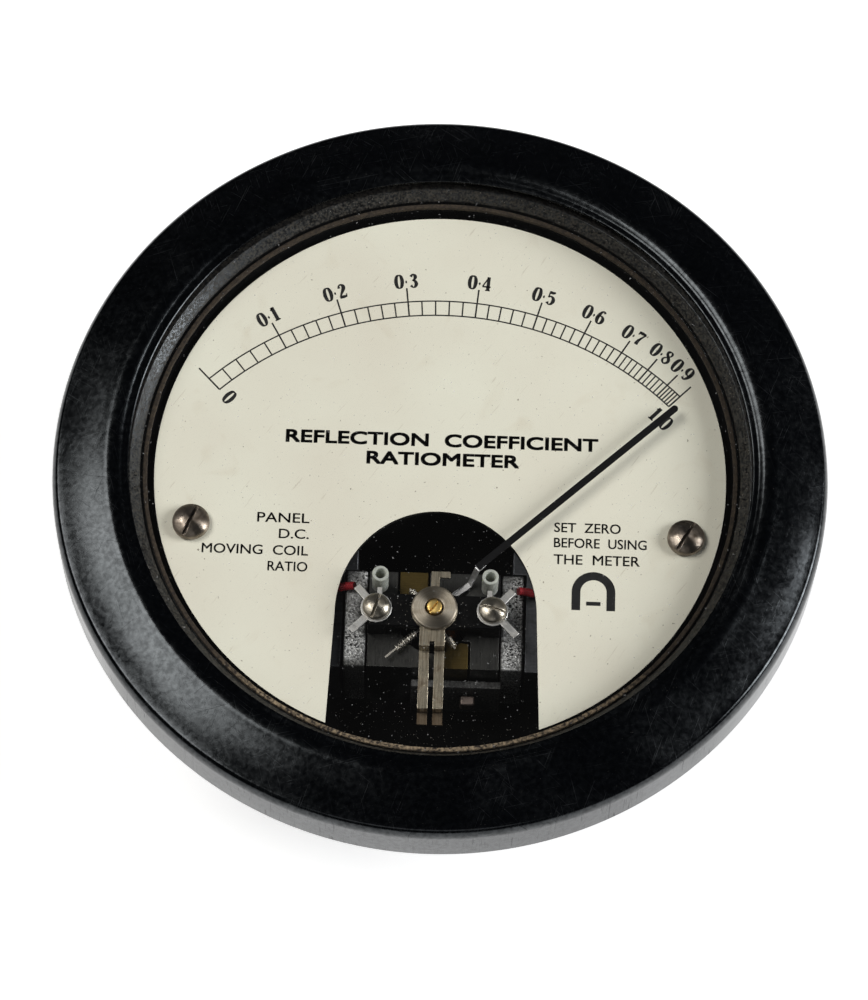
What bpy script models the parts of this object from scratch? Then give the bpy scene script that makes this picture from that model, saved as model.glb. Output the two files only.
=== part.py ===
"""Round panel ratiometer for standing-wave readings, lying face up on its rear terminals.

Run with: blender --background --python part.py

Frame: metres, +Z out of the dial, +Y towards the top of the scale, origin on the
case axis at the level of the terminal tips. Sizes below are in millimetres and
are turned into metres once, where a mesh is made.
"""
import math

import bmesh
import bpy
from mathutils import Vector

MM = 0.001
GAP = 0.3

# --- driving dimensions, millimetres -----------------------------------------
FLANGE_R = 52.0
FLANGE_DEPTH = 6.4
CASE_DEPTH = 33.0
STUD_REACH = 14.0
RIM_Z = CASE_DEPTH + STUD_REACH
DIAL_DROP = 1.7
DIAL_Z = RIM_Z - DIAL_DROP
DIAL_R = 38.5
DIAL_THICKNESS = 0.8
WINDOW_HALF_X = 13.4
WINDOW_SPRING_Y = -20.0
WINDOW_RISE = 14.7
BIG_STEPS = 64
SMALL_STEPS = 16
# A tool turned off the round pieces' own steps never shares an edge with them.
TOOL_TURN = 3.1

# Glass and its seat, heights counted from the rim plane.
LIP_R = 41.65
SEAT_R = 43.3
GLASS_R = 43.0
GLASS_LOW = 1.65
GLASS_HIGH = 2.75
LEDGE_R = 40.25
GASKET_INNER_R = 39.2
GASKET_TOP = 0.0
GASKET_LOW = -0.6

# Case fixings: circle radius and directions in degrees.
CASE_SCREW_CIRCLE = 45.0
CASE_SCREW_ANGLES = (30.0, 150.0, 270.0)
STUD_CIRCLE = 22.0
STUD_ANGLES = (30.0, 150.0, 270.0)
BOSS_CIRCLE = 31.0
BOSS_ANGLES = (90.0, 210.0, 330.0)
STUD_R = 2.3

# Movement: its axis on the dial, and heights counted from the dial's face.
AXIS_X = -0.2
AXIS_Y = -20.0
BLOCK_TOP = -2.4
BLOCK_LOW = -15.4
BLOCK_HALF_Y = 6.8
POLE_X = 8.75
MAGNET_IN = 9.0
MAGNET_OUT = 11.9
BORE_R = 4.7
CORE_R = 3.0
PLATE_TOP = BLOCK_LOW - GAP
PLATE_LOW = PLATE_TOP - 2.5
PLATE_R = 37.0
BRIDGE_TOP = 1.2
BRIDGE_LOW = -0.1
BRIDGE_HALF_X = 8.8
BRIDGE_HALF_Y = 2.25
SCREW_X = 7.7
SLEEVE_X = 7.3
SLEEVE_Y = 4.35
SLEEVE_R = 1.1
TAG_LOW = 1.4
TAG_TOP = 1.7

# Pointer at rest: direction in degrees from +X and how far its line passes the axis.
POINTER_ANGLE = 42.8
POINTER_SIDE = 0.6
POINTER_WIDTH = 0.95
POINTER_ROOT = 8.1
POINTER_TIP = 44.0
COIL_ANGLE = -26.0
COIL_CROSSING = 30.0

# Dial screws and pillars.
DIAL_SCREW_X = 33.1
DIAL_SCREW_Y = -8.2


# --- scene and materials -------------------------------------------------------
def clear_scene():
    """Remove every object of the start-up scene."""
    for item in list(bpy.data.objects):
        bpy.data.objects.remove(item, do_unlink=True)


def make_material(name, colour, roughness, metallic=0.0, alpha=1.0):
    """Plain Principled material with one colour."""
    material = bpy.data.materials.new(name)
    material.use_nodes = True
    shader = material.node_tree.nodes["Principled BSDF"]
    shader.inputs["Base Color"].default_value = (*colour, 1.0)
    shader.inputs["Roughness"].default_value = roughness
    shader.inputs["Metallic"].default_value = metallic
    shader.inputs["Alpha"].default_value = alpha
    material.diffuse_color = (*colour, alpha)
    return material


# --- mesh helpers ----------------------------------------------------------------
def finish_mesh(name, bm, material):
    """Turn a bmesh in millimetres into a named object in metres, faces outwards."""
    bmesh.ops.recalc_face_normals(bm, faces=bm.faces)
    bmesh.ops.scale(bm, vec=(MM, MM, MM), verts=bm.verts)
    mesh = bpy.data.meshes.new(name)
    bm.to_mesh(mesh)
    bm.free()
    mesh.materials.append(material)
    mesh.shade_smooth()
    mesh.set_sharp_from_angle(angle=math.radians(32))
    item = bpy.data.objects.new(name, mesh)
    bpy.context.scene.collection.objects.link(item)
    return item


def place(item, x=0.0, y=0.0, z=0.0, turn=0.0):
    """Put an object at a place in millimetres, turned about the vertical in degrees."""
    item.location = Vector((x, y, z)) * MM
    item.rotation_euler = (0.0, 0.0, math.radians(turn))
    return item


def arc(radius, start, end, steps, centre=(0.0, 0.0)):
    """Points along a circular arc, ends included, angles in degrees."""
    points = []
    for step in range(steps + 1):
        angle = math.radians(start + (end - start) * step / steps)
        points.append((centre[0] + radius * math.cos(angle), centre[1] + radius * math.sin(angle)))
    return points


def turned(name, profile, material, steps=SMALL_STEPS):
    """Solid turned about Z from a closed outline of (radius, height) points."""
    bm = bmesh.new()
    rings = []
    for radius, height in profile:
        if radius == 0:
            rings.append([None] * steps)
            continue
        ring = []
        for step in range(steps):
            angle = 2.0 * math.pi * step / steps
            ring.append(bm.verts.new((radius * math.cos(angle), radius * math.sin(angle), height)))
        rings.append(ring)
    for index, lower in enumerate(rings):
        after = (index + 1) % len(rings)
        upper = rings[after]
        starts, ends = lower[0] is None, upper[0] is None
        if starts and ends:
            continue
        if starts or ends:
            edge = upper if starts else lower
            if profile[index][1] == profile[after][1]:
                bm.faces.new(edge)
                continue
            peak = bm.verts.new((0.0, 0.0, profile[index if starts else after][1]))
            for step in range(steps):
                bm.faces.new((edge[step], edge[(step + 1) % steps], peak))
            continue
        for step in range(steps):
            following = (step + 1) % steps
            bm.faces.new((lower[step], lower[following], upper[following], upper[step]))
    return finish_mesh(name, bm, material)


def prism(name, outline, low, high, material):
    """Solid between two heights over a closed outline of (x, y) points."""
    bm = bmesh.new()
    bottom = [bm.verts.new((x, y, low)) for x, y in outline]
    top = [bm.verts.new((x, y, high)) for x, y in outline]
    bm.faces.new(bottom)
    bm.faces.new(top)
    count = len(outline)
    for index in range(count):
        after = (index + 1) % count
        bm.faces.new((bottom[index], bottom[after], top[after], top[index]))
    return finish_mesh(name, bm, material)


def side_prism(name, outline, half_width, material, centre=0.0):
    """Solid over an outline of (y, z) points, half_width either side of x = centre."""
    bm = bmesh.new()
    left = [bm.verts.new((centre - half_width, y, z)) for y, z in outline]
    right = [bm.verts.new((centre + half_width, y, z)) for y, z in outline]
    bm.faces.new(left)
    bm.faces.new(right)
    count = len(outline)
    for index in range(count):
        after = (index + 1) % count
        bm.faces.new((left[index], left[after], right[after], right[index]))
    return finish_mesh(name, bm, material)


def block(name, x, y, z, material):
    """Box from three (low, high) pairs."""
    outline = [(x[0], y[0]), (x[1], y[0]), (x[1], y[1]), (x[0], y[1])]
    return prism(name, outline, z[0], z[1], material)


def swept_wire(name, route, radius, material, sides=1):
    """Round wire along a list of (x, y, z) points."""
    curve = bpy.data.curves.new(name, "CURVE")
    curve.dimensions = "3D"
    curve.bevel_depth = radius * MM
    curve.bevel_resolution = sides
    curve.use_fill_caps = True
    spline = curve.splines.new("POLY")
    spline.points.add(len(route) - 1)
    for point, spot in zip(spline.points, route):
        point.co = (*(Vector(spot) * MM), 1.0)
    curve.materials.append(material)
    item = bpy.data.objects.new(name, curve)
    bpy.context.scene.collection.objects.link(item)
    return item


def smooth_route(points, steps=3):
    """Catmull-Rom curve through a short list of hand-placed points."""
    vectors = [Vector(point) for point in points]
    padded = [2 * vectors[0] - vectors[1], *vectors, 2 * vectors[-1] - vectors[-2]]
    route = []
    for index in range(1, len(padded) - 2):
        before, start, end, after = padded[index - 1:index + 3]
        for step in range(steps):
            t = step / steps
            bend = (2 * before - 5 * start + 4 * end - after) * t * t
            twist = (3 * start - before - 3 * end + after) * t ** 3
            route.append(0.5 * (2 * start + (end - before) * t + bend + twist))
    route.append(vectors[-1])
    return route


def combine(item, tool, operation="DIFFERENCE"):
    """Cut a tool out of an item, or weld it on, with a live Boolean."""
    tool.hide_render = True
    tool.display_type = "WIRE"
    modifier = item.modifiers.new(tool.name, "BOOLEAN")
    modifier.operation = operation
    modifier.solver = "EXACT"
    modifier.object = tool
    return item


def drill(item, x, y, radius, low, high, steps=SMALL_STEPS):
    """Drill a round vertical hole between two heights, in world millimetres."""
    tool = turned(item.name + "_drill", [(0, low), (radius, low), (radius, high), (0, high)],
                  item.active_material, steps)
    place(tool, x, y, turn=TOOL_TURN)
    return combine(item, tool)


def slot(item, x, y, width, length, low, high, turn):
    """Cut a straight screwdriver slot, in world millimetres."""
    tool = block(item.name + "_slot", (-length / 2, length / 2), (-width / 2, width / 2), (low, high),
                 item.active_material)
    place(tool, x, y, turn=turn)
    return combine(item, tool)


def polar(radius, angle, centre=(0.0, 0.0)):
    """Point at a distance and a direction in degrees from a centre."""
    turn = math.radians(angle)
    return centre[0] + radius * math.cos(turn), centre[1] + radius * math.sin(turn)


def on_movement(item, turn=0.0):
    """Place a piece modelled about the movement's axis, heights from the dial's face."""
    return place(item, AXIS_X, AXIS_Y, DIAL_Z, turn)


# --- case ---------------------------------------------------------------------------
def build_bezel(bakelite):
    """Moulded flange and front ring with the glass seat and the case recess behind it."""
    shoulder = [(50.97 + 1.03 * math.cos(math.radians(a)), 1.85 * math.sin(math.radians(a)))
                for a in range(0, 91, 18)]
    crest = [(45.4, 3.72), (44.7, 3.95), (44.0, 4.02), (43.3, 3.93), (42.75, 3.7), (42.4, 3.55)]
    mouth = [(LIP_R + 0.2, 3.52), (LIP_R, 3.4), (LIP_R, GLASS_HIGH + GAP)]
    back = [(SEAT_R, GLASS_HIGH + GAP), (SEAT_R, -4.0), (48.4, -4.0), (48.4, -FLANGE_DEPTH),
            (FLANGE_R - 0.5, -FLANGE_DEPTH), (FLANGE_R, 0.5 - FLANGE_DEPTH)]
    bezel = turned("bezel_ring", shoulder + crest + mouth + back, bakelite, BIG_STEPS)
    place(bezel, z=RIM_Z)
    for angle in CASE_SCREW_ANGLES:
        x, y = polar(CASE_SCREW_CIRCLE, angle)
        drill(bezel, x, y, 1.3, RIM_Z - 5.0, RIM_Z + 0.5)
    return bezel


def build_glass(glass, gasket):
    """Window disc and the brown packing ring on the ledge below it."""
    disc = [(0, GLASS_LOW), (GLASS_R - 0.2, GLASS_LOW), (GLASS_R, GLASS_LOW + 0.2),
            (GLASS_R, GLASS_HIGH - 0.2), (GLASS_R - 0.2, GLASS_HIGH), (0, GLASS_HIGH)]
    place(turned("window_glass", disc, glass, BIG_STEPS), z=RIM_Z)
    outer = LEDGE_R - GAP
    ring = [(GASKET_INNER_R, GASKET_LOW), (GASKET_INNER_R, GASKET_TOP), (outer, GASKET_TOP), (outer, GASKET_LOW)]
    place(turned("glass_gasket", ring, gasket, BIG_STEPS), z=RIM_Z)


def build_case(bakelite):
    """Cup with a funnel mouth under the glass, a collar, three bosses and holes for the fixings."""
    outer = [(0, -CASE_DEPTH), (36.8, -CASE_DEPTH)]
    outer += arc(3.0, -80, 0, 4, (36.8, 3.0 - CASE_DEPTH))
    outer += [(41.0, -6.2), (48.1, -6.2), (48.1, -4.3), (SEAT_R - GAP, -4.3), (SEAT_R - GAP, 1.3)]
    ledge = GASKET_LOW - GAP
    inner = [(41.6, 1.3), (LEDGE_R, 0.1), (LEDGE_R, ledge), (39.4, ledge), (39.3, -5.0), (37.9, -29.0),
             (36.4, 2.0 - CASE_DEPTH), (0, 2.0 - CASE_DEPTH)]
    case = turned("case_body", outer + inner, bakelite, BIG_STEPS)
    place(case, z=RIM_Z)
    floor = RIM_Z - CASE_DEPTH
    boss_top = DIAL_Z + PLATE_LOW - GAP
    for angle in BOSS_ANGLES:
        x, y = polar(BOSS_CIRCLE, angle)
        boss = turned("case_boss", [(0, floor + 1.0), (3.2, floor + 1.0), (3.2, boss_top), (0, boss_top)],
                      bakelite)
        combine(case, place(boss, x, y, turn=TOOL_TURN), "UNION")
        drill(case, x, y, 1.5, boss_top - 5.0, boss_top + 1.0)
    for angle in STUD_ANGLES:
        drill(case, *polar(STUD_CIRCLE, angle), STUD_R + GAP, floor - 1.0, floor + 3.0)
    for angle in CASE_SCREW_ANGLES:
        drill(case, *polar(CASE_SCREW_CIRCLE, angle), 1.7, RIM_Z - 7.0, RIM_Z - 3.5)
    return case


def build_case_screws(steel):
    """Three cheese-head screws from behind through the collar into the flange."""
    for number, angle in enumerate(CASE_SCREW_ANGLES, 1):
        x, y = polar(CASE_SCREW_CIRCLE, angle)
        profile = [(0, -7.6), (2.3, -7.6), (2.5, -7.4), (2.5, -6.5), (1.0, -6.5), (1.0, 0.2), (0, 0.2)]
        screw = turned(f"case_screw_{number}", profile, steel)
        place(screw, x, y, RIM_Z)
        slot(screw, x, y, 0.6, 6.0, RIM_Z - 8.0, RIM_Z - 7.1, angle)


def build_terminals(brass, steel):
    """Three studs through the case floor, each with a washer and a nut outside."""
    floor = RIM_Z - CASE_DEPTH
    for number, angle in enumerate(STUD_ANGLES, 1):
        x, y = polar(STUD_CIRCLE, angle)
        head = floor + 2.0 + GAP
        stud = [(0, 0), (STUD_R - 0.4, 0), (STUD_R, 0.4), (STUD_R, head), (4.2, head),
                (4.2, head + 1.8), (0, head + 1.8)]
        place(turned(f"terminal_stud_{number}", stud, brass), x, y)
        washer_top = floor - GAP
        washer = [(STUD_R + GAP, washer_top - 0.8), (5.0, washer_top - 0.8), (5.0, washer_top),
                  (STUD_R + GAP, washer_top)]
        place(turned(f"terminal_washer_{number}", washer, steel), x, y)
        nut_top = washer_top - 0.8 - GAP
        nut = prism(f"terminal_nut_{number}", arc(4.6, 0, 300, 5), nut_top - 3.4, nut_top, brass)
        place(nut, x, y, turn=15)
        drill(nut, x, y, STUD_R + GAP, nut_top - 5.0, nut_top + 1.0)


# --- dial ---------------------------------------------------------------------------
def window_outline():
    """Arched cut-out of the dial: round head, then sides that spread a little."""
    head = [(WINDOW_HALF_X * x, WINDOW_SPRING_Y + WINDOW_RISE * y) for x, y in arc(1.0, 180, 0, 24)]
    return [(-13.95, -35.67), *head, (13.95, -35.67)]


def build_dial(enamel):
    """Dial plate with the arched window open at its lower edge and two screw holes."""
    window = window_outline()
    start = math.degrees(math.atan2(window[-1][1], window[-1][0]))
    end = math.degrees(math.atan2(window[0][1], window[0][0])) + 360.0
    rim = arc(DIAL_R, start, end, 60)
    plate = prism("dial_plate", rim + window[1:-1], DIAL_Z - DIAL_THICKNESS, DIAL_Z, enamel)
    for side in (-1, 1):
        drill(plate, side * DIAL_SCREW_X, DIAL_SCREW_Y, 1.3, DIAL_Z - 2.0, DIAL_Z + 1.0)


def build_dial_fixings(steel, brass):
    """Round-head screws and the pillars that hold the dial above the frame plate."""
    for name, side, turn in (("left", -1, 68.0), ("right", 1, 60.0)):
        x = side * DIAL_SCREW_X
        head = [(2.5, GAP), (2.5, 0.75), *[(2.5 * math.cos(a), 0.75 + 1.1 * math.sin(a))
                                           for a in (0.4, 0.8, 1.15)], (0, 1.9)]
        screw = turned(f"dial_screw_{name}", [(0, -5.5), (0.85, -5.5), (0.85, GAP), *head], steel)
        place(screw, x, DIAL_SCREW_Y, DIAL_Z)
        slot(screw, x, DIAL_SCREW_Y, 0.6, 6.0, DIAL_Z + 1.1, DIAL_Z + 3.0, turn)
        low, high = PLATE_TOP + GAP, -DIAL_THICKNESS - GAP
        bore = [(2.5, low), (2.5, high), (1.2, high), (1.2, high - 6.0), (0, high - 6.0), (0, low)]
        place(turned(f"dial_pillar_{name}", bore, brass), x, DIAL_SCREW_Y, DIAL_Z)


# --- fixed movement -------------------------------------------------------------------
def build_frame_plate(black, steel):
    """Base plate of the movement with its clearance holes and three screws."""
    profile = [(0, PLATE_LOW), (PLATE_R, PLATE_LOW), (PLATE_R, PLATE_TOP), (0, PLATE_TOP)]
    plate = place(turned("frame_plate", profile, black, 40), z=DIAL_Z)
    low, high = DIAL_Z + PLATE_LOW - 1.0, DIAL_Z + PLATE_TOP + 1.0
    drill(plate, AXIS_X, AXIS_Y, BORE_R + 0.6, low, high)
    for side in (-1, 1):
        drill(plate, side * 21.5, 3.0, 1.5, low, high, 12)
    for number, angle in enumerate(BOSS_ANGLES, 1):
        x, y = polar(BOSS_CIRCLE, angle)
        drill(plate, x, y, 1.5, low, high)
        head = PLATE_TOP + GAP
        profile = [(0, PLATE_LOW - 4.0), (1.1, PLATE_LOW - 4.0), (1.1, head), (2.4, head),
                   (2.4, head + 1.2), (1.6, head + 1.6), (0, head + 1.6)]
        screw = turned(f"frame_screw_{number}", profile, steel)
        place(screw, x, y, DIAL_Z)
        slot(screw, x, y, 0.6, 6.0, DIAL_Z + head + 0.9, DIAL_Z + head + 3.0, 20.0 * number)


def build_magnet_system(alnico, iron, brass):
    """Two magnets, two pole pieces, two spacers that carry the core, and the outer yokes."""
    tongue = (113.0, 129.0)
    spacer = [(-0.95, BLOCK_HALF_Y), (-4.65, BLOCK_HALF_Y), (-4.65, 3.2)]
    spacer += arc(BORE_R, 139, tongue[1], 3) + arc(CORE_R + GAP, tongue[1], tongue[0], 3)
    spacer += arc(BORE_R, tongue[0], 101.7, 3)
    pole = [(-POLE_X, -BLOCK_HALF_Y), (0.65, -BLOCK_HALF_Y)]
    pole += arc(BORE_R, 278, 143, 18) + [(-4.95, 2.85), (-4.95, BLOCK_HALF_Y), (-POLE_X, BLOCK_HALF_Y)]
    yoke = [(-17.0, -6.7), (-12.2, -6.7), (-12.2, 7.2), (-10.4, 7.2), (-10.4, 10.5), (-17.0, 10.5)]
    magnet = [(-MAGNET_OUT, -BLOCK_HALF_Y), (-MAGNET_IN, -BLOCK_HALF_Y), (-MAGNET_IN, BLOCK_HALF_Y),
              (-MAGNET_OUT, BLOCK_HALF_Y)]
    for name, turn in (("left", 0.0), ("right", 180.0)):
        body = on_movement(prism(f"pole_{name}", pole, BLOCK_LOW, BLOCK_TOP, iron), turn)
        side = -1 if name == "left" else 1
        drill(body, AXIS_X + side * SCREW_X, AXIS_Y, 0.85, DIAL_Z - 6.0, DIAL_Z)
        on_movement(prism(f"magnet_{name}", magnet, BLOCK_LOW, BLOCK_TOP, alnico), turn)
        outline = [(-side * x, y) for x, y in yoke]
        on_movement(prism(f"yoke_{name}", outline, BLOCK_LOW, -3.2, iron))
    on_movement(prism("spacer_upper", spacer, BLOCK_LOW, BLOCK_TOP, brass))
    on_movement(prism("spacer_lower", spacer, BLOCK_LOW, BLOCK_TOP, brass), 180.0)
    core = [(0, -14.2), (CORE_R, -14.2), (CORE_R, -3.6), (0, -3.6)]
    on_movement(turned("core", core, iron, 24))


def build_bridges(black, brass, steel):
    """Bearing bars above and below, their jewel screws and the lock disc."""
    x, foot = BRIDGE_HALF_X, 6.4
    outline = [(-x, BLOCK_TOP + 0.25), (-foot, BLOCK_TOP + 0.25), (-foot, BRIDGE_LOW), (foot, BRIDGE_LOW),
               (foot, BLOCK_TOP + 0.25), (x, BLOCK_TOP + 0.25), (x, BRIDGE_TOP), (-x, BRIDGE_TOP)]
    bridge = side_prism("top_bridge", outline, BRIDGE_HALF_Y, black)
    on_movement(bridge, 90.0)
    drill(bridge, AXIS_X, AXIS_Y, 1.3, DIAL_Z - 1.0, DIAL_Z + 2.0)
    for side in (-1, 1):
        drill(bridge, AXIS_X + side * SCREW_X, AXIS_Y, 0.95, DIAL_Z - 4.0, DIAL_Z + 2.0)
    low, high = PLATE_LOW - GAP - 1.8, PLATE_LOW - GAP
    lower = block("bottom_bridge", (-9.0, 9.0), (-2.5, 2.5), (low, high), black)
    on_movement(lower)
    drill(lower, AXIS_X, AXIS_Y, 1.3, DIAL_Z + low - 1.0, DIAL_Z + high + 1.0)
    jewel = [(0, 1.1), (0.5, 0.45), (1.0, 0.45), (1.0, 2.85), (0, 2.85)]
    upper_jewel = on_movement(turned("top_jewel_screw", jewel, brass, 20))
    slot(upper_jewel, AXIS_X, AXIS_Y, 0.3, 3.0, DIAL_Z + 2.45, DIAL_Z + 4.0, 55.0)
    jewel = [(0, low - 1.2), (1.0, low - 1.2), (1.0, high + 0.2), (0.5, high + 0.2), (0, high - 0.45)]
    on_movement(turned("bottom_jewel_screw", jewel, brass, 20))
    disc = [(1.25, 2.05), (3.0, 2.05), (3.0, 2.4), (2.85, 2.55), (1.25, 2.55)]
    on_movement(turned("lock_disc", disc, steel, 24))


def build_zero_adjuster(nickel):
    """Lever about the movement's axis: hub, bent tail tab, and a stepped two-prong fork."""
    low, high = 1.4, 1.85
    ring = [(1.3, low), (3.1, low), (3.1, high), (1.3, high)]
    lever = on_movement(turned("zero_adjuster", ring, nickel, 24))
    tail = [(-0.5, 2.6), (0.6, 2.6), (0.6, 4.5), (2.0, 4.5), (2.0, 5.35), (-0.5, 5.35)]
    combine(lever, on_movement(prism("adjuster_tail", tail, low, high, nickel)), "UNION")
    step = [(-2.6, high), (-5.25, high), (-5.25, -0.1), (-13.35, -0.1), (-13.35, -1.8), (-15.0, -1.8),
            (-15.0, -2.25), (-12.9, -2.25), (-12.9, -0.55), (-4.8, -0.55), (-4.8, low), (-2.6, low)]
    fork = side_prism("adjuster_fork", step, 1.68, nickel, -0.17)
    combine(lever, on_movement(fork), "UNION")
    gap = block("adjuster_gap", (-0.5, 0.17), (-20.0, -4.6), (-4.0, 3.0), nickel)
    combine(lever, on_movement(gap))


def build_tags(nickel, steel, plastic):
    """Solder tags with their screws, and the stop pins with plastic sleeves."""
    hook = [(1.85, TAG_LOW), (2.6, TAG_LOW), (2.6, -1.9), (4.67, -1.9), (4.67, 0.2), (4.03, 0.2),
            (4.03, -1.55), (2.9, -1.55), (2.9, TAG_TOP), (1.85, TAG_TOP)]
    for name, side, slot_turn in (("left", -1, 85.0), ("right", 1, -14.0)):
        x = side * SCREW_X
        ring = [(0.95, TAG_LOW), (2.1, TAG_LOW), (2.1, TAG_TOP), (0.95, TAG_TOP)]
        tag = place(turned(f"tag_{name}", ring, nickel), AXIS_X + x, AXIS_Y, DIAL_Z)
        for reach, angle in ((4.0, 48.0), (4.7, -46.0)):
            arm = block("tag_arm", (1.6, reach), (-0.5, 0.5), (TAG_LOW, TAG_TOP), nickel)
            place(arm, AXIS_X + x, AXIS_Y, DIAL_Z, angle if side > 0 else 180.0 - angle)
            combine(tag, arm, "UNION")
        pin = side_prism("tag_hook", hook, 0.32, nickel, side * SLEEVE_X)
        combine(tag, on_movement(pin), "UNION")
        head = [(1.8, TAG_TOP + 0.2), (1.8, 2.15), (1.66, 2.5), (1.25, 2.8), (0.65, 2.96), (0, 3.0)]
        profile = [(0, -5.2), (0.6, -5.2), (0.6, TAG_TOP + 0.2), *head]
        screw = turned(f"bridge_screw_{name}", profile, steel)
        place(screw, AXIS_X + x, AXIS_Y, DIAL_Z)
        slot(screw, AXIS_X + x, AXIS_Y, 0.45, 5.0, DIAL_Z + 2.45, DIAL_Z + 4.0, slot_turn)
        tube = [(0.68, -1.2), (SLEEVE_R, -1.2), (SLEEVE_R, 3.0), (0.68, 3.0)]
        place(turned(f"stop_sleeve_{name}", tube, plastic), AXIS_X + side * SLEEVE_X,
              AXIS_Y + SLEEVE_Y, DIAL_Z)


def build_resistor(card, brass):
    """Resistor card standing beside the magnet block, with its fixing post."""
    on_movement(block("resistor_card", (-2.8, 9.2), (-8.1, -7.1), (BLOCK_LOW, -6.0), card))
    on_movement(block("card_post", (3.8, 5.8), (-9.8, -8.4), (-10.0, -8.0), brass))


def build_leads(red):
    """Sleeved leads from the solder tags, under the dial and down to two terminals."""
    for name, side in (("left", -1), ("right", 1)):
        points = [(-10.9, -15.9, -1.15), (-12.2, -15.8, -1.75), (-13.6, -15.8, -2.0), (-18.6, -14.6, -2.3),
                  (-21.6, -9.0, -4.6), (-22.2, -2.0, -9.0), (-21.5, 3.0, -13.5), (-21.5, 3.0, -17.5),
                  (-20.6, 7.0, -22.0), (-19.2, 11.0, -26.7)]
        points = [(-side * x, y, z + DIAL_Z) for x, y, z in points]
        swept_wire(f"lead_{name}", smooth_route(points), 0.55, red)


# --- moving system ----------------------------------------------------------------------
def build_moving_system(black, steel, copper, brass):
    """Pointer, pivots, crossed coils and balance arms, all about the movement's axis."""
    hub = bpy.data.objects.new("pointer_axis", None)
    bpy.context.scene.collection.objects.link(hub)
    hub.location = Vector((AXIS_X, AXIS_Y, DIAL_Z)) * MM

    def ride(item, turn=0.0, lean=0.0, height=0.0):
        item.parent = hub
        item.location.z = height * MM
        item.rotation_euler = (0.0, math.radians(lean), math.radians(turn))
        return item

    half = POINTER_WIDTH / 2
    tip = arc(half, -90, 90, 6, (POINTER_TIP - half, POINTER_SIDE))
    outline = [(POINTER_ROOT, POINTER_SIDE - half), *tip, (POINTER_ROOT, POINTER_SIDE + half)]
    ride(prism("pointer_blade", outline, 1.95, 2.2, black), POINTER_ANGLE)

    step = [(-1.2, -0.75), (-2.4, -0.75), (-3.3, -2.1), (-7.0, -2.1), (-8.2, 1.35), (-9.3, 1.35),
            (-9.3, 1.65), (-8.0, 1.65), (-6.8, -1.85), (-3.15, -1.85), (-2.25, -0.45), (-1.2, -0.45)]
    crank = ride(turned("pointer_crank", [(0.8, -0.75), (1.7, -0.75), (1.7, -0.45), (0.8, -0.45)], steel))
    strip = side_prism("crank_strip", step, 0.4, steel, POINTER_SIDE)
    combine(crank, ride(strip, POINTER_ANGLE + 90.0), "UNION")

    upper = [(0, -2.05), (1.2, -2.05), (1.2, -1.8), (0.5, -1.8), (0.5, -0.1), (0, 0.75)]
    ride(turned("pivot_upper", upper, steel, 16))
    lower = [(0, -19.0), (0.5, -18.1), (0.5, -16.05), (1.2, -16.05), (1.2, -15.8), (0, -15.8)]
    ride(turned("pivot_lower", lower, steel, 16))

    coils = (("coil_inner", 3.3, 3.7, -3.3, -14.5, COIL_ANGLE),
             ("coil_outer", 4.0, 4.4, -2.7, -15.1, COIL_ANGLE + COIL_CROSSING))
    for name, inner, outer, top, bottom, turn in coils:
        loop = block(name, (-outer, outer), (-0.8, 0.8), (bottom - 0.35, top + 0.35), copper)
        opening = block(name + "_opening", (-inner, inner), (-2.0, 2.0), (bottom, top), copper)
        combine(ride(loop, turn), ride(opening, turn))

    arms = turned("balance_cross", [(0.8, -1.55), (1.5, -1.55), (1.5, -1.3), (0.8, -1.3)], brass)
    ride(arms)
    weights = (("tail_weight", 223.0, 8.6, 3.2, 6.8), ("side_weight_right", 304.0, 5.2, 3.4, 4.9),
               ("side_weight_upper", 130.0, 5.2, 3.4, 4.9))
    for name, angle, reach, start, end in weights:
        arm = block("balance_arm", (1.2, reach), (-0.13, 0.13), (-1.55, -1.3), brass)
        combine(arms, ride(arm, angle), "UNION")
        collar = turned(name, [(0.24, start), (0.5, start), (0.5, end), (0.24, end)], copper, 12)
        ride(collar, angle, 90.0, -1.425)


def main():
    """Build the whole instrument."""
    clear_scene()
    bakelite = make_material("bakelite_black", (0.012, 0.012, 0.014), 0.18)
    black = make_material("black_paint", (0.02, 0.02, 0.02), 0.6)
    glass = make_material("window_glass", (0.9, 0.93, 0.92), 0.03, alpha=0.15)
    gasket = make_material("brown_gasket", (0.30, 0.24, 0.17), 0.85)
    enamel = make_material("dial_cream", (0.80, 0.79, 0.70), 0.5)
    steel = make_material("bright_steel", (0.58, 0.56, 0.53), 0.28, 1.0)
    nickel = make_material("nickel_silver", (0.62, 0.58, 0.50), 0.32, 1.0)
    brass = make_material("brass", (0.60, 0.45, 0.18), 0.35, 1.0)
    iron = make_material("soft_iron", (0.16, 0.16, 0.16), 0.4, 0.9)
    alnico = make_material("cast_alnico", (0.50, 0.50, 0.50), 0.6, 0.8)
    copper = make_material("wound_wire", (0.35, 0.20, 0.10), 0.45, 0.6)
    plastic = make_material("sleeve_plastic", (0.82, 0.83, 0.78), 0.3)
    card = make_material("resistor_card", (0.30, 0.30, 0.30), 0.7)
    red = make_material("red_sleeving", (0.45, 0.03, 0.05), 0.6)
    build_bezel(bakelite)
    build_glass(glass, gasket)
    build_case(bakelite)
    build_case_screws(steel)
    build_terminals(brass, steel)
    build_dial(enamel)
    build_dial_fixings(steel, brass)
    build_frame_plate(black, steel)
    build_magnet_system(alnico, iron, brass)
    build_bridges(black, brass, steel)
    build_zero_adjuster(nickel)
    build_tags(nickel, steel, plastic)
    build_resistor(card, brass)
    build_leads(red)
    build_moving_system(black, steel, copper, brass)


main()
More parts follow.
